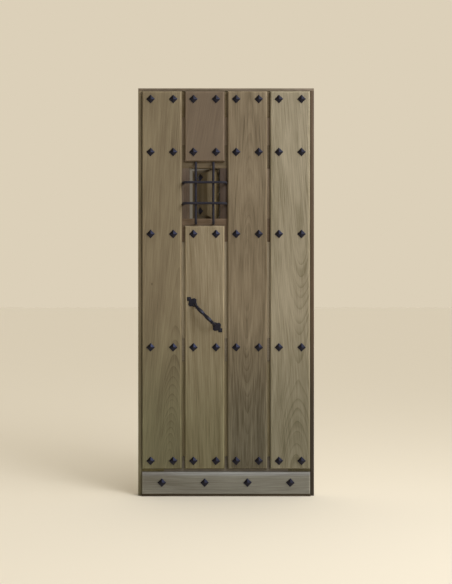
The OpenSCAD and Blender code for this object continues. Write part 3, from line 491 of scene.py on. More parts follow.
def smooth(piece: bpy.types.Object, angle: float) -> None:
    """Shades a piece smooth, apart from edges sharper than an angle, by a modifier.

    Args:
        piece: object to shade.
        angle: largest angle between two faces that still look like one curve, in degrees.
    """
    name = f"smooth_{angle:g}"
    group = bpy.data.node_groups.get(name)
    if group is None:
        group = bpy.data.node_groups.new(name, "GeometryNodeTree")
        for side in ("INPUT", "OUTPUT"):
            group.interface.new_socket("Geometry", in_out=side, socket_type="NodeSocketGeometry")
        entry = add(group, "NodeGroupInput", {})
        bend = add(group, "GeometryNodeInputMeshEdgeAngle", {})
        sharp = add(group, "ShaderNodeMath", {0: bend, 1: math.radians(angle)}, operation="GREATER_THAN")
        curved = {"Geometry": entry, "Shade Smooth": True}
        curved = add(group, "GeometryNodeSetShadeSmooth", curved, domain="FACE")
        creased = {"Geometry": curved, "Selection": sharp, "Shade Smooth": False}
        creased = add(group, "GeometryNodeSetShadeSmooth", creased, domain="EDGE")
        add(group, "NodeGroupOutput", {0: creased})
    piece.modifiers.new("smooth", "NODES").node_group = group


def dress(node: bpy.types.Object, finish: bpy.types.Material, soft: float) -> None:
    """Gives a CAD node its finish and breaks its sharp edges.

    Args:
        node: the node's object, whose mesh stays as it is.
        finish: its material.
        soft: width of the broken edges, in millimetres.
    """
    bend = 35
    node.data.materials.clear()
    node.data.materials.append(finish)
    weld = node.modifiers.new("weld", "WELD")
    weld.merge_threshold = 0.002 * MM
    edge = node.modifiers.new("edge", "BEVEL")
    edge.width = soft * MM
    edge.segments = 2
    edge.limit_method = "ANGLE"
    edge.angle_limit = math.radians(bend)
    edge.use_clamp_overlap = True
    smooth(node, bend)


def spaced(low: float, high: float, near: np.ndarray, step: float) -> np.ndarray:
    """Places along a side: close together within near of both ends, and about step apart between.

    Args:
        low: one end.
        high: the other end.
        near: distances from an end of the close places, rising from 0.
        step: distance between the places in between.

    Returns:
        The places, rising.
    """
    count = max(2, int(round((high - low - 2 * near[-1]) / step)))
    inner = np.linspace(low + near[-1], high - near[-1], count + 1)[1:-1]
    return np.concatenate([low + near, inner, (high - near)[::-1]])


@dataclass
class Board:
    """A board on the front of the leaf, with chamfered, slightly worn front edges."""

    name: str
    x: Span
    z: Span
    thick: float
    chamfer: float
    seed: int
    finish: Iroko
    slope: float = 0.0
    slope_t: float = 0.0
    step: float = 11.0
    rub_and_highlight_w: float = 2.4

    def build(self) -> bpy.types.Object:
        """Builds the board as a height field on a grid, closed by its sides and its flat back.

        Returns:
            The board, with how pale its arrises are drawn, for wear and as a painted highlight, as an attribute of
            its points.
        """
        c = self.chamfer
        near = np.array([0, 0.35, 0.9, 0.3 * c, 0.55 * c, 0.8 * c, c - 0.5, c, c + 0.6, c + 1.4, c + 3.5])
        xs = spaced(*self.x, near, self.step)
        zs = spaced(*self.z, near, 1.3 * self.step)
        z, x = np.meshgrid(zs, xs, indexing="ij")
        front, rubbed = self._front(x, z)
        top = np.stack([x, -front, z], -1).reshape(-1, 3)
        loop = grid_border(*front.shape)
        back = top[loop] * np.array([1, 0, 1])
        foot = len(top) + np.arange(len(loop))
        faces = [*grid_faces(*front.shape).tolist(), *ring_faces(loop, foot).tolist(), foot.tolist()]
        points = np.concatenate([top, back])
        piece = new_piece(self.name + "_board", points, faces, self.finish.material(), "leaf")
        # How pale each point's arris is drawn: partly wear, partly a painted highlight.
        worn = np.concatenate([rubbed.ravel(), np.zeros(len(loop))]).astype(np.float32)
        piece.data.attributes.new(WORN_AND_HIGHLIGHT, "FLOAT", "POINT").data.foreach_set("value", worn)
        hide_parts(self.name)
        return piece

    def _front(self, x: np.ndarray, z: np.ndarray) -> tuple[np.ndarray, np.ndarray]:
        """How far the front stands proud of the framing, and how pale its arris is drawn.

        Within chamfer of the nearest side it falls off at 45 degrees, rounded by the square root of the
        squared distance plus a small constant, and its outer edge is eased by an exponential. Hand planing
        leaves it wavy by a few tenths of a millimetre, and wear widens the chamfer here and there. A slope
        cuts it down to slope_t at the top. The arris is paled by a bell curve of a given width in millimetres,
        partly for wax rubbed off and partly as a painted highlight.

        Args:
            x: place of each point across.
            z: place of each point up.

        Returns:
            Height of each point, and how pale its arris is drawn: partly wear, partly a painted highlight.
        """
        across, up = x - self.x[0], z - self.z[0]
        inside = np.minimum(np.minimum(across, self.x[1] - x), np.minimum(up, self.z[1] - z))
        nicks = np.maximum(0, lattice_noise(across / 9, up / 13, self.seed + 1) - 0.6)
        wear = 0.5 * lattice_noise(across / 30, up / 45, self.seed) + 0.9 * nicks
        fall = self.chamfer + wear - inside
        fall = 0.5 * (fall + np.sqrt(fall * fall + 0.8))
        eased = 0.7 * np.exp(-inside / 0.45)
        long_waves = lattice_noise(across / 55 + 7, up / 190, self.seed + 2)
        short_waves = lattice_noise(across / 17 + 3, up / 60, self.seed + 3)
        front = self.thick - 0.25 + 0.176 * long_waves + 0.08 * short_waves - fall - eased
        if self.slope:
            level = self.slope_t + (self.z[1] - z) * (self.thick - self.slope_t) / self.slope
            front = np.minimum(front, level - eased)
        # Pale arris: partly wax rubbed off, partly a painted highlight on the edges.
        rubbed = np.exp(-(((inside - self.chamfer) / self.rub_and_highlight_w) ** 2)) * (0.75 + 0.5 * wear)
        return front, rubbed


@dataclass
class NailHeads:
    """Forged nails with pyramid heads that stand on one corner, each a little different."""

    name: str
    points: np.ndarray
    face_y: float
    finish: bpy.types.Material
    seed: int
    size: float = 31.6
    rise: float = 12.0
    edge: float = 2.0
    sharp: int = 16
    blunt: float = 0.07
    dent: float = 0.2
    seat: float = 0.15
    shank: float = 5.0
    shank_l: float = 40.0
    cells: int = 14

    def heads(self) -> tuple[np.ndarray, Faces]:
        """Heads and shanks as grids, with the head's seat at depth 0 and its tip toward -Y.

        On a square of s and t from -1 to 1, the height falls from the tip in proportion to the larger of
        |s| and |t|, rounded by a power mean, down to the edge. The tip is blunted, shifted and turned by a
        small random amount, and hammering dents each face. The shank is a square that tapers to its point.

        Returns:
            Points of all nails in millimetres, and their faces.
        """
        rng = np.random.default_rng(self.seed)
        count = len(self.points)
        line = np.linspace(-1, 1, self.cells + 1)
        t, s = np.meshgrid(line, line, indexing="ij")
        tip = rng.uniform(-0.06, 0.06, (2, count, 1, 1))
        lean_s = np.abs(s - tip[0] * (1 - np.abs(s)))
        lean_t = np.abs(t - tip[1] * (1 - np.abs(t)))
        mean = np.minimum((lean_s**self.sharp + lean_t**self.sharp) ** (1 / self.sharp), 1.0)
        fall = (np.sqrt(mean**2 + self.blunt**2) - self.blunt) / (math.sqrt(1 + self.blunt**2) - self.blunt)
        shift = rng.uniform(0, 40, (2, count, 1, 1))
        dents = lattice_noise(2.2 * (s + 1) + shift[0], 2.2 * (t + 1) + shift[1], self.seed)
        rise = self.rise * rng.uniform(0.94, 1.0, (count, 1, 1))
        height = self.edge + (rise - self.edge) * (1 - fall) + self.dent * dents * (1 - mean**4)
        half = self.size / 2 * rng.uniform(0.985, 1.0, (count, 1, 1))
        turn = math.pi / 4 + rng.normal(0, 0.03, (count, 1, 1))
        a, b = half * s, half * t
        x = self.points[:, 0, None, None] + a * np.cos(turn) - b * np.sin(turn)
        z = self.points[:, 1, None, None] + a * np.sin(turn) + b * np.cos(turn)
        head = np.stack([x, self.face_y - height, z], -1).reshape(count, -1, 3)
        side = len(line)
        loop = grid_border(side, side)
        under = head[:, loop].copy()
        under[..., 1] = self.face_y + self.seat
        centre = np.stack([self.points[:, 0], np.full(count, self.face_y), self.points[:, 1]], -1)[:, None]
        corner = np.array([[-1, 0, -1], [1, 0, -1], [1, 0, 1], [-1, 0, 1]]) * self.shank / 2
        point = 0.3 * corner + np.array([0, self.shank_l, 0])
        points = np.concatenate([head, under, centre + corner, centre + point], 1)
        ring = side * side + np.arange(len(loop))
        root = side * side + len(loop) + np.arange(4)
        shank = [ring_faces(root, root + 4), root[None], root[None] + 4]
        quads = np.concatenate([grid_faces(side, side), ring_faces(loop, ring), *shank])
        offset = points.shape[1] * np.arange(count)[:, None, None]
        seats = (ring[None] + offset[:, 0]).tolist()
        return points.reshape(-1, 3), [*(quads[None] + offset).reshape(-1, 4).tolist(), *seats]

    def build(self, body: str) -> bpy.types.Object:
        """Makes the nails one piece that stands for the CAD nails.

        Args:
            body: CAD body that they move with.

        Returns:
            The nails.
        """
        points, faces = self.heads()
        piece = new_piece(self.name + "_forged", points, faces, self.finish, body)
        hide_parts(self.name)
        return piece


def sweep(path: np.ndarray, binormal: np.ndarray, a: np.ndarray, b: np.ndarray) -> tuple[np.ndarray, Faces]:
    """Carries a closed profile along a path that lies in a plane.

    At each place of the path the profile's first coordinate runs in the plane, square to the path, and its
    second runs along the plane's normal. Flat faces close both ends.

    Args:
        path: places along the path.
        binormal: unit normal of the path's plane.
        a: first coordinate of the profile's points at each place.
        b: second coordinate of the profile's points at each place.

    Returns:
        Points, and faces as point numbers.
    """
    tangent = np.gradient(path, axis=0)
    tangent = tangent / np.linalg.norm(tangent, axis=1, keepdims=True)
    normal = np.cross(binormal, tangent)
    points = path[:, None] + a[..., None] * normal[:, None] + b[..., None] * binormal
    return points.reshape(-1, 3), tube_faces(*a.shape)


def staple_path(reach: float, stand: float, bend: float, bury: float, step: float) -> np.ndarray:
    """Path of a bar with both ends bent back: a leg, a quarter circle, a straight, and the same again.

    Args:
        reach: half the distance between the legs.
        stand: height of the straight over the wood.
        bend: radius of the quarter circles.
        bury: length of the legs inside the wood.
        step: distance between places.

    Returns:
        Places as distance along the bar and height over the wood.
    """
    leg = np.arange(-bury, stand - bend, step)
    quarter = np.linspace(0, math.pi / 2, max(6, int(bend * math.pi / 2 / step * 1.6)))
    half = np.linspace(bend - reach, 0, max(4, int((reach - bend) / step)))
    left = np.concatenate(
        [
            np.stack([np.full_like(leg, -reach), leg], -1),
            np.stack([bend - reach - bend * np.cos(quarter), stand - bend + bend * np.sin(quarter)], -1),
            np.stack([half[1:], np.full_like(half[1:], stand)], -1),
        ]
    )
    return np.concatenate([left, (left * np.array([-1, 1]))[-2::-1]])


@dataclass
class Grille:
    """Four round bars in front of the peephole, drawn out under the hammer and bent back into the wood."""

    finish: bpy.types.Material
    middle_x: float = -109.8375
    middle_z: float = 1558.0
    radius: float = 6.4
    bend: float = 28.0
    bury: float = 24.0
    upright_x: Span = (-154.8375, -64.8375)
    upright_reach: float = 155.8
    upright_stand: float = 39.7
    level_z: Span = (1503.0, 1610.0)
    level_reach: float = 109.9875
    level_stand: float = 52.9
    step: float = 3.0
    hammer: float = 0.014
    hammer_l: float = 11.0

    def bar(self, name: str, upright: bool, at: float, seed: int) -> bpy.types.Object:
        """One bar: a circle carried along its path, with flats where the hammer fell.

        The hammer's noise runs along the bar, and round it by the cosine and the sine of the angle, so that
        it closes.

        Args:
            name: CAD node that the bar stands for.
            upright: whether the bar runs up instead of across.
            at: where it stands, across for an upright bar and up for a level one.
            seed: picks its hammer marks.

        Returns:
            The bar.
        """
        reach = self.upright_reach if upright else self.level_reach
        stand = self.upright_stand if upright else self.level_stand
        path = staple_path(reach, stand, self.bend, self.bury, self.step)
        turn = np.linspace(0, 2 * math.pi, 16, endpoint=False)
        along, angle = np.meshgrid(np.arange(len(path)) * self.step / self.hammer_l, turn, indexing="ij")
        flats = lattice_noise(along, 3 + 2.2 * np.cos(angle), seed)
        flats = flats + lattice_noise(along, 3 + 2.2 * np.sin(angle), seed + 1)
        radius = self.radius * (1 + self.hammer * flats)
        still = np.full(len(path), at)
        if upright:
            line = np.stack([still, -path[:, 1], self.middle_z + path[:, 0]], -1)
            flat = np.array([1.0, 0.0, 0.0])
        else:
            line = np.stack([self.middle_x + path[:, 0], -path[:, 1], still], -1)
            flat = np.array([0.0, 0.0, 1.0])
        points, faces = sweep(line, flat, radius * np.cos(angle), radius * np.sin(angle))
        piece = new_piece(name + "_forged", points, faces, self.finish, "leaf")
        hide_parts(name)
        return piece

    def build(self) -> list[bpy.types.Object]:
        """Builds the bars.

        Returns:
            The two upright bars and the two level ones.
        """
        return [
            self.bar("grille_bar_left", True, self.upright_x[0], 11),
            self.bar("grille_bar_right", True, self.upright_x[1], 13),
            self.bar("grille_bar_lower", False, self.level_z[0], 15),
            self.bar("grille_bar_upper", False, self.level_z[1], 17),
        ]


@dataclass
class Pull:
    """Forged pull: a square bar, twisted between two collars, with round feet bent back to its end plates."""

    finish: bpy.types.Material
    middle: Point = (-109.8375, -18.0, 934.0)
    feet: float = 140.0
    bend: float = 16.0
    stand: float = 44.19
    half: float = 7.5
    foot_r: float = 6.5
    collar_r: float = 9.8
    collar_l: float = 7.0
    bead: float = 1.0
    bead_at: float = 7.5
    bead_l: float = 1.6
    turns: float = 0.5
    bury: float = 3.0
    step: float = 1.5
    plate_t: float = 3.0
    plate_at: tuple[float, ...] = (
        57, 61, 66, 70, 75, 79, 83, 86.5, 90, 94.5, 98.5, 102, 105.5, 108.5, 113.4, 127.3
    )
    plate_w: tuple[float, ...] = (
        3, 7, 9.5, 12, 15, 19, 24.2, 25.4, 23.4, 24.2, 20.5, 14, 9.4, 9.6, 14.2, 0.6
    )
    eye: Span = (86.0, 18.5)
    eye_r: float = 2.2

    def build(self) -> None:
        """Builds the bar and the end plate on each of its feet."""
        self.bar()
        self.plate("handle_plate_upper", -1)
        self.plate("handle_plate_lower", 1)

    def _axes(self) -> tuple[np.ndarray, np.ndarray, np.ndarray]:
        """Unit vectors down the pull's diagonal, up across it, and out of the plank."""
        half = math.sqrt(0.5)
        return np.array([half, 0.0, -half]), np.array([half, 0.0, half]), np.array([0.0, -1.0, 0.0])

    def plate(self, name: str, side: int) -> bpy.types.Object:
        """One end plate, hammered out to two curled lobes and a square tip.

        Its half width, plate_w, is drawn through chosen places along the pull, plate_at, and rounded by a
        running mean. Across that width the thickness falls off with the fourth power, and a bell-shaped
        dent marks the eye of each lobe.

        Args:
            name: CAD node that the plate stands for.
            side: 1 for the plate at the lower end, -1 for the upper one.

        Returns:
            The plate.
        """
        u = np.linspace(self.plate_at[0], self.plate_at[-1], 72)
        wide = np.interp(u, self.plate_at, self.plate_w)
        wide[1:-1] = (wide[:-2] + 2 * wide[1:-1] + wide[2:]) / 4
        u = u[:, None]
        across = np.linspace(-1, 1, 33)
        v = wide[:, None] * across
        eyes = ((u - self.eye[0]) / self.eye_r) ** 2 + ((np.abs(v) - self.eye[1]) / self.eye_r) ** 2
        rise = self.plate_t * (1 - 0.45 * across**4 - 0.7 * np.exp(-eyes))
        rise = rise - 0.15 * (1 + lattice_noise(u / 6 + 0 * v, (v + 30) / 6, 37 + side))
        v, rise = np.concatenate([v, v[:, ::-1]], 1), np.concatenate([rise, 0 * rise], 1)
        down, up, out = self._axes()
        points = np.array(self.middle) + side * u[..., None] * down + v[..., None] * up + rise[..., None] * out
        faces = tube_faces(*v.shape)
        piece = new_piece(name + "_forged", points.reshape(-1, 3), faces, self.finish, "leaf")
        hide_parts(name)
        return piece

    def bar(self) -> bpy.types.Object:
        """Carries one profile from foot to foot.

        The profile is a superellipse: its power goes from 2, round, at the feet to 7, nearly square, in the
        grip, where it turns with the distance along the bar. The collars and the bead inside each swell it
        by bell curves.

        Returns:
            The bar, which stands for the CAD bar.
        """
        path = staple_path(self.feet / 2, self.stand, self.bend, self.bury, self.step)
        grip = self.feet / 2 - self.bend
        x, rise = path[:, 0:1], path[:, 1:2]
        from_end = grip - np.abs(x)
        straight = rise > self.stand - 0.01
        square = np.clip((from_end - self.collar_l / 2) / 5, 0, 1)
        square = np.where(straight & (from_end > 0), square, 0)
        power = 2 + 5 * square * square * (3 - 2 * square)
        angle = np.linspace(0, 2 * math.pi, 32, endpoint=False)[None]
        size = self.foot_r + (self.half - self.foot_r) * square
        collar = np.exp(-((np.abs(from_end) / (self.collar_l / 2)) ** 4))
        collar = np.where(rise > self.stand - 4, collar, 0)
        bead = np.where(straight, np.exp(-(((from_end - self.bead_at) / self.bead_l) ** 2)), 0)
        radius = size / (np.abs(np.cos(angle)) ** power + np.abs(np.sin(angle)) ** power) ** (1 / power)
        radius = radius + (self.collar_r - radius) * collar + self.bead * bead
        twist = math.pi * self.turns * np.clip(x, -grip, grip) / grip * np.ones_like(angle)
        radius = radius * (1 + 0.012 * lattice_noise((x + 80) / 7 + 0 * angle, 3 + 2 * np.cos(angle + twist), 31))
        a, b = radius * np.cos(angle + twist), radius * np.sin(angle + twist)
        down, up, out = self._axes()
        points, faces = sweep(np.array(self.middle) + x * down + rise * out, up, a, b)
        piece = new_piece("handle_bar_forged", points, faces, self.finish, "leaf")
        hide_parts("handle_bar")
        return piece


@dataclass
class Leaf:
    """The planked face of the leaf: four columns of planks, a kickboard and their nails."""

    iron: bpy.types.Material
    half_w: float = 432.0
    gap: float = 14.7
    thick: float = 18.0
    chamfer: float = 6.0
    foot_z: float = 140.5
    top_z: float = 2083.0
    window_z: Span = (1391.0, 1721.0)
    nail_spread: float = 116.0
    nail_rows: tuple[float, ...] = (2041.0, 1769.0, 1348.0, 766.0, 183.0)
    kick_z: Span = (13.0, 124.0)
    kick_t: float = 22.0
    kick_chamfer: float = 4.0
    kick_slope: float = 17.0
    kick_top_t: float = 8.4
    kick_nail_z: float = 72.0
    columns: np.ndarray = field(init=False)
    plank_w: float = field(init=False)

    def __post_init__(self) -> None:
        """Works out the planks' width and the middle of each column."""
        self.plank_w = (2 * self.half_w - 3 * self.gap) / 4
        self.columns = (np.arange(4) - 1.5) * (self.plank_w + self.gap)

    def _plank(self, name: str, column: int, z: Span, worked: int, **figure: object) -> Board:
        """One plank.

        Args:
            name: CAD node that the plank stands for.
            column: which column it stands in, from 0.
            z: its lower and upper end.
            worked: picks its plane and wear marks.
            figure: colours and growth lines of its wood.

        Returns:
            The plank as a board.
        """
        middle = self.columns[column]
        x = (middle - self.plank_w / 2, middle + self.plank_w / 2)
        finish = Iroko(f"iroko_planed_{name}", middle=(middle, 0, 0), **figure)
        return Board(name, x, z, self.thick, self.chamfer, worked, finish)

    def planks(self) -> list[Board]:
        """The planks as boards, each with the figure that its wood shows.

        Returns:
            The five planks and the kickboard.
        """
        below, above = (self.foot_z, self.window_z[0]), (self.window_z[1], self.top_z)
        whole = (self.foot_z, self.top_z)
        # Greyer than the planks. Its face below the slope takes the foot colour and its sloping top does not, so
        # the
        # top is paler: a painted highlight where it faces up.
        kick = Iroko(
            "iroko_planed_kickboard", "#909292", "#696763", "#ECE8DA", grain=Grain.LEVEL, middle=(0, 0, 70),
            pith_x=60, pith_depth=150, swell=10, swell_z=0, line=0.35, streak=0.8, foot_z=(112.0, 104.0), seed=29.1,
        )
        return [
            # Calm, leaning right, with arches that rise from its foot and one small knot.
            self._plank(
                "plank_1", 0, whole, 101, light="#8A7F67", dark="#5F5340", foot="#DDEADF", tilt=-3.5, pith_x=27,
                pith_depth=150, swell=-72, swell_z=60, swell_l=520, line=0.36, streak=0.65, wave=8.0,
                knots=((-117.5, 1085.8, 5.0),), seed=3.1,
            ),
            # Redder and plainer, with slanting fibres.
            self._plank(
                "plank_2_upper", 1, above, 111, light="#726555", dark="#544639", foot="#FFFFFF", tilt=-9.0,
                pith_x=-700, pith_depth=70, swell=12, swell_z=1800, line=0.3, streak=0.5, seed=7.7,
            ),
            # Straight, fine streaks, greener at the foot.
            self._plank(
                "plank_2_lower", 1, below, 121, light="#968B75", dark="#665942", foot="#D6DED1", tilt=2.3,
                pith_x=-180, pith_depth=60, swell=10, swell_z=800, line=0.3, streak=0.85, seed=11.3,
            ),
            # Long ovals in the middle and bold dark streaks at the foot.
            self._plank(
                "plank_3", 2, whole, 131, light="#8B7E69", dark="#554936", foot="#C8D1D2", pith_x=4, pith_depth=96,
                swell=-48, swell_z=1120, swell_l=560, line=0.26, streak=0.8, bold=1.8, wave=8.0, seed=17.9,
            ),
            # The palest, with wide arches that hang in the middle and stand at the foot.
            self._plank(
                "plank_4", 3, whole, 141, light="#A19885", dark="#6E6651", foot="#DDE1DE", tilt=4.0, pith_x=28,
                lean=0.097, pith_depth=140, swell=48, swell_z=670, swell_l=420, ring=5.6, line=0.44, streak=0.75,
                wave=6.0, seed=23.3,
            ),
            Board(
                "kickboard", (-self.half_w, self.half_w), self.kick_z, self.kick_t, self.kick_chamfer, 151, kick,
                slope=self.kick_slope, slope_t=self.kick_top_t,
            ),
        ]

    def build(self) -> None:
        """Builds the boards and drives the nails."""
        for board in self.planks():
            board.build()
        side = np.array([-1, 1]) * self.nail_spread / 2
        columns = (self.columns[:, None] + side).ravel()
        grid = np.stack(np.meshgrid(columns, self.nail_rows, indexing="ij"), -1).reshape(-1, 2)
        NailHeads("plank_nails", grid, -self.thick, self.iron, 201).build("leaf")
        low = np.stack([self.columns, np.full(4, self.kick_nail_z)], -1)
        NailHeads("kickboard_nails", low, -self.kick_t, self.iron, 203).build("leaf")


@dataclass
class Joinery:
    """Pieces that keep their CAD shape: the frame, the leaf's framing, the shutter and the ironmongery."""

    nodes: dict[str, bpy.types.Object]
    iron: bpy.types.Material
    steel: bpy.types.Material
    wood_edge: float = 1.2
    iron_edge: float = 0.5
    steel_edge: float = 0.35

    def wood(self) -> dict[str, Iroko]:
        """The finish of each wooden piece that keeps its CAD shape.

        Returns:
            A finish for each node.
        """
        # Light, dark and foot: the frame and framing are darker than the planks. The panels and the middle rail,
        # seen from the front only in the shaded gaps between the planks, are painted paler, as painted light in
        # those gaps, and the shutter board is painted paler, as painted light on its shaded margin.
        tones = {
            "lock_jamb": ("#8A7E67", "#62573F", "#F4FFFF"),
            "hinge_jamb": ("#62503F", "#433525", "#ABB4C6"),
            "head": ("#85776A", "#5E5341", "#FFFFFF"),
            "threshold": ("#5B4F3C", "#3C3325", "#FFFFFF"),
            "lock_stile": ("#84795D", "#5D553B", "#E0E2CE"),
            "hinge_stile": ("#736957", "#514A37", "#E0E2CE"),
            "top_rail": ("#77684F", "#54472F", "#B9B08E"),
            "upper_rail": ("#6B5E4A", "#4A3E2A", "#B9B08E"),
            "window_rail": ("#756252", "#50412E", "#B9B08E"),
            # Painted paler, as painted light in the gaps between the planks.
            "middle_rail": ("#8F8578", "#675D4A", "#FFFFFF"),
            "bottom_rail": ("#736D63", "#51493D", "#FFFFFF"),
            "window_stile_left": ("#6E6053", "#4D4036", "#FFFFFF"),
            "window_stile_right": ("#4F4036", "#362920", "#FFFFFF"),
            # The panels are painted paler, as painted light in the gaps between the planks.
            "top_panel": ("#9D8B76", "#6D5E4C", "#FFFFFF"),
            "side_panel_left": ("#CCBEA5", "#8F846E", "#FFFFFF"),
            "side_panel_right": ("#B2A18A", "#7E6F5B", "#FFFFFF"),
            "middle_panel": ("#CCBEA5", "#8F846E", "#FFFFFF"),
            "lower_panel": ("#A19575", "#6F654C", "#FFFFFF"),
            # Painted paler, as painted light on its shaded margin.
            "shutter_board": ("#A39376", "#76684A", "#FFFFFF"),
            "shutter_panel": ("#706451", "#4D432B", "#FFFFFF"),
            "shutter_lath": ("#706451", "#4D432B", "#FFFFFF"),
        }
        made: dict[str, Iroko] = {}
        for i, (name, tone) in enumerate(tones.items()):
            low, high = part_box(name)
            level = name in ("head", "threshold") or name.endswith("_rail")
            made[name] = Iroko(
                f"iroko_planed_{name}", *tone, grain=Grain.LEVEL if level else Grain.UPRIGHT,
                middle=tuple((low + high) / 2 / MM), pith_x=-90 + 37 * (i % 6), pith_depth=90 + 21 * (i % 4),
                swell=14 * (i % 3), swell_z=0, line=0.3, streak=0.55, seed=31.7 + 5.3 * i,
            )
        return made

    def build(self) -> None:
        """Dresses each node, with edges broken wider on wood than on metal."""
        for name, finish in self.wood().items():
            dress(self.nodes[name], finish.material(), self.wood_edge)
            LOG.info("%s: %s", name, finish.name)
        steel = [f"hinge_{place}_{side}_leaf" for place in ("top", "middle", "bottom") for side in ("jamb", "door")]
        steel += [f"shutter_hinge_{place}_{leaf}" for place in ("top", "bottom") for leaf in ("fixed_leaf", "leaf")]
        steel += ["hinge_pins", "shutter_hinge_pins", "jamb_hinge_screws", "door_hinge_screws"]
        steel += ["fixed_leaf_screws", "shutter_screws"]
        iron = ["bolt_plate", "bolt_bar", "bolt_keeper", "bolt_screws", "shutter_button", "button_pivot"]
        iron += ["handle_nails"]
        for name in steel:
            dress(self.nodes[name], self.steel, self.steel_edge)
            LOG.info("%s: %s", name, self.steel.name)
        for name in iron:
            dress(self.nodes[name], self.iron, self.iron_edge)
            LOG.info("%s: %s", name, self.iron.name)


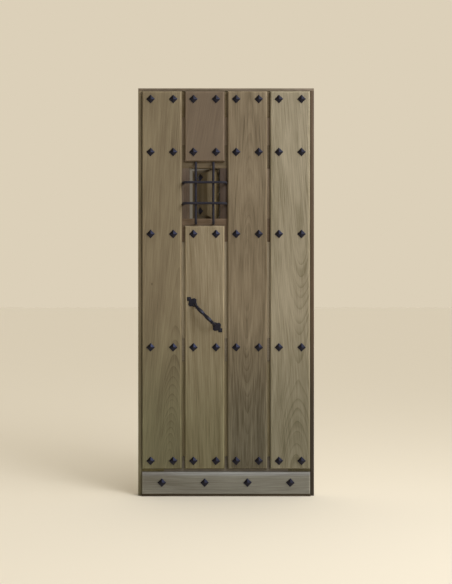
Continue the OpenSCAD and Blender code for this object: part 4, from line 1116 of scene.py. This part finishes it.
@dataclass
class Studio:
    """Pale floor, soft light from the upper right, and a camera square to the door."""

    floor: str = "#EDE7DA"
    backdrop: str = "#DCD0B9"
    peephole_shade: str = "#6B655A"
    peephole_shade_rim: Span = (320.0, 190.0)
    peephole_shade_edge: Span = (-85.0, -62.0)
    peephole_shade_dark: float = 0.12
    dim: str = "#2E2C2A"
    bright: str = "#FFFAF0"
    glow: Span = (1.1, 2.4)
    peephole: Point = (-109.8, 0.0, 1558.0)
    eye: Point = (-0.3, -5000.0, 1050.0)
    lens: float = 59.8
    film: float = 36.0
    key: float = 60.0
    key_size: float = 1500.0
    key_at: Point = (1900.0, -2300.0, 3300.0)
    key_aim: Point = (0.0, 0.0, 1150.0)
    half_floor: float = 60000.0

    def build(self) -> None:
        """Builds the floor, the lights and the camera."""
        scene = bpy.context.scene
        scene.view_settings.view_transform = "Standard"
        self._floor()
        self._key()
        scene.world = self._world()
        data = bpy.data.cameras.new("camera")
        data.sensor_fit = "VERTICAL"
        data.sensor_height = self.film
        data.lens = self.lens
        camera = bpy.data.objects.new("camera", data)
        camera.location = [v * MM for v in self.eye]
        camera.rotation_euler = (math.pi / 2, 0, 0)
        scene.collection.objects.link(camera)
        scene.camera = camera

    def _world(self) -> bpy.types.World:
        """A room that lights the door from the right and leaves it dim on the left, with a pale backdrop.

        The backdrop is painted darker straight behind the peephole, a painted shade that shows through it, and
        its right part, behind the shutter's hinges, is darker still, a painted shadow there.

        Returns:
            The world.
        """
        world = bpy.data.worlds.new("studio")
        world.use_nodes = True
        tree = world.node_tree
        ray = add(tree, "ShaderNodeTexCoord", {}, "Generated")
        across, along, up = add(tree, "ShaderNodeSeparateXYZ", {0: ray}).node.outputs
        side = add(tree, "ShaderNodeMapRange", {0: across, 1: -0.45, 2: 0.85}, interpolation_type="SMOOTHSTEP")
        ends = {0: side, 6: to_linear(self.dim), 7: to_linear(self.bright)}
        room = add(tree, "ShaderNodeMix", ends, 2, data_type="RGBA")
        glow = {0: up, 1: -0.2, 2: 0.8, 3: self.glow[0], 4: self.glow[1]}
        glow = add(tree, "ShaderNodeMapRange", glow, interpolation_type="SMOOTHSTEP")
        room = add(tree, "ShaderNodeVectorMath", {0: room, "Scale": glow}, operation="SCALE")
        behind = add(tree, "ShaderNodeMapRange", {0: along, 1: -0.1, 2: 0.3}, interpolation_type="SMOOTHSTEP")
        direct = add(tree, "ShaderNodeLightPath", {}, "Is Camera Ray")
        behind = add(tree, "ShaderNodeMath", {0: behind, 1: direct}, operation="MAXIMUM")
        ends = {0: behind, 6: room, 7: to_linear(self.backdrop)}
        colour = add(tree, "ShaderNodeMix", ends, 2, data_type="RGBA")
        # Painted shade on the backdrop behind the peephole, darker on its right, where it stands for the shadow at
        # the shutter's hinges.
        aim = np.array(self.peephole) - np.array(self.eye)
        aim = tuple(aim / np.linalg.norm(aim))
        near = add(tree, "ShaderNodeVectorMath", {0: ray, 1: aim}, "Value", operation="DOT_PRODUCT")
        away = abs(self.eye[1])
        rim = {0: near, **{i + 1: math.cos(math.atan(r / away)) for i, r in enumerate(self.peephole_shade_rim)}}
        seen = add(tree, "ShaderNodeMapRange", rim, interpolation_type="SMOOTHSTEP")
        shade = {0: across, 1: self.peephole_shade_edge[0] / away, 2: self.peephole_shade_edge[1] / away, 3: 1.0, 4: self.peephole_shade_dark}
        shade = add(tree, "ShaderNodeMapRange", shade)
        peephole_shade = add(tree, "ShaderNodeVectorMath", {0: to_linear(self.peephole_shade)[:3], "Scale": shade}, operation="SCALE")
        colour = add(tree, "ShaderNodeMix", {0: seen, 6: colour, 7: peephole_shade}, 2, data_type="RGBA")
        tree.links.new(colour, tree.nodes["Background"].inputs["Color"])
        return world

    def _floor(self) -> None:
        """Lays a plain floor at the foot of the door."""
        points = np.array([[-1, -1, 0], [1, -1, 0], [1, 1, 0], [-1, 1, 0]]) * self.half_floor * MM
        mesh = bpy.data.meshes.new("floor")
        mesh.from_pydata(points.tolist(), [], [[0, 1, 2, 3]])
        finish = bpy.data.materials.new("painted_floor")
        finish.use_nodes = True
        shader = finish.node_tree.nodes["Principled BSDF"]
        shader.inputs["Base Color"].default_value = to_linear(self.floor)
        shader.inputs["Roughness"].default_value = 0.9
        mesh.materials.append(finish)
        floor = bpy.data.objects.new("floor", mesh)
        bpy.context.scene.collection.objects.link(floor)

    def _key(self) -> None:
        """Hangs one square soft light, turned to face its aim."""
        data = bpy.data.lights.new("key", "AREA")
        data.size = self.key_size * MM
        data.energy = self.key
        lamp = bpy.data.objects.new("key", data)
        reach = np.array(self.key_aim) - np.array(self.key_at)
        down = math.acos(-reach[2] / np.linalg.norm(reach))
        lamp.location = [v * MM for v in self.key_at]
        lamp.rotation_euler = (down, 0.0, math.atan2(reach[1], reach[0]) - math.pi / 2)
        bpy.context.scene.collection.objects.link(lamp)


def main() -> None:
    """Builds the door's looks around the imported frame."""
    logging.basicConfig(level=logging.INFO, format="%(name)s %(message)s")
    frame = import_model()
    # Dull and blue-black, with wide, soft hammer marks.
    iron = Iron("wrought_iron_blacked").material()
    # Darker and browner, with a bluer sheen on the facet that faces the light.
    nails = Iron(
        "wrought_iron_nail_heads", "#1D1917", "#2A2624", rough=0.34, gloss=0.4, tint="#8C9EDF", mark=9.0, depth=0.25
    ).material()
    # Darkest, polished a little by hands.
    grip = Iron("wrought_iron_pull", "#1C1A1E", "#2C2B33", rough=0.34, gloss=0.36, mark=7.0).material()
    # Grey, filed smooth, with a broken metal sheen.
    steel = Iron(
        "steel_hand_finished", "#6E6B66", "#97938B", rough=0.36, gloss=0.5, tint="#FFFFFF", metal=0.9, mark=18.0,
        depth=0.08,
    ).material()
    Leaf(nails).build()
    Grille(iron).build()
    Pull(grip).build()
    Joinery(frame["nodes"], iron, steel).build()
    dress(frame["nodes"]["shutter_nails"], nails, soft=0.6)
    LOG.info("shutter_nails: %s", nails.name)
    Studio().build()


if __name__ == "__main__":
    main()
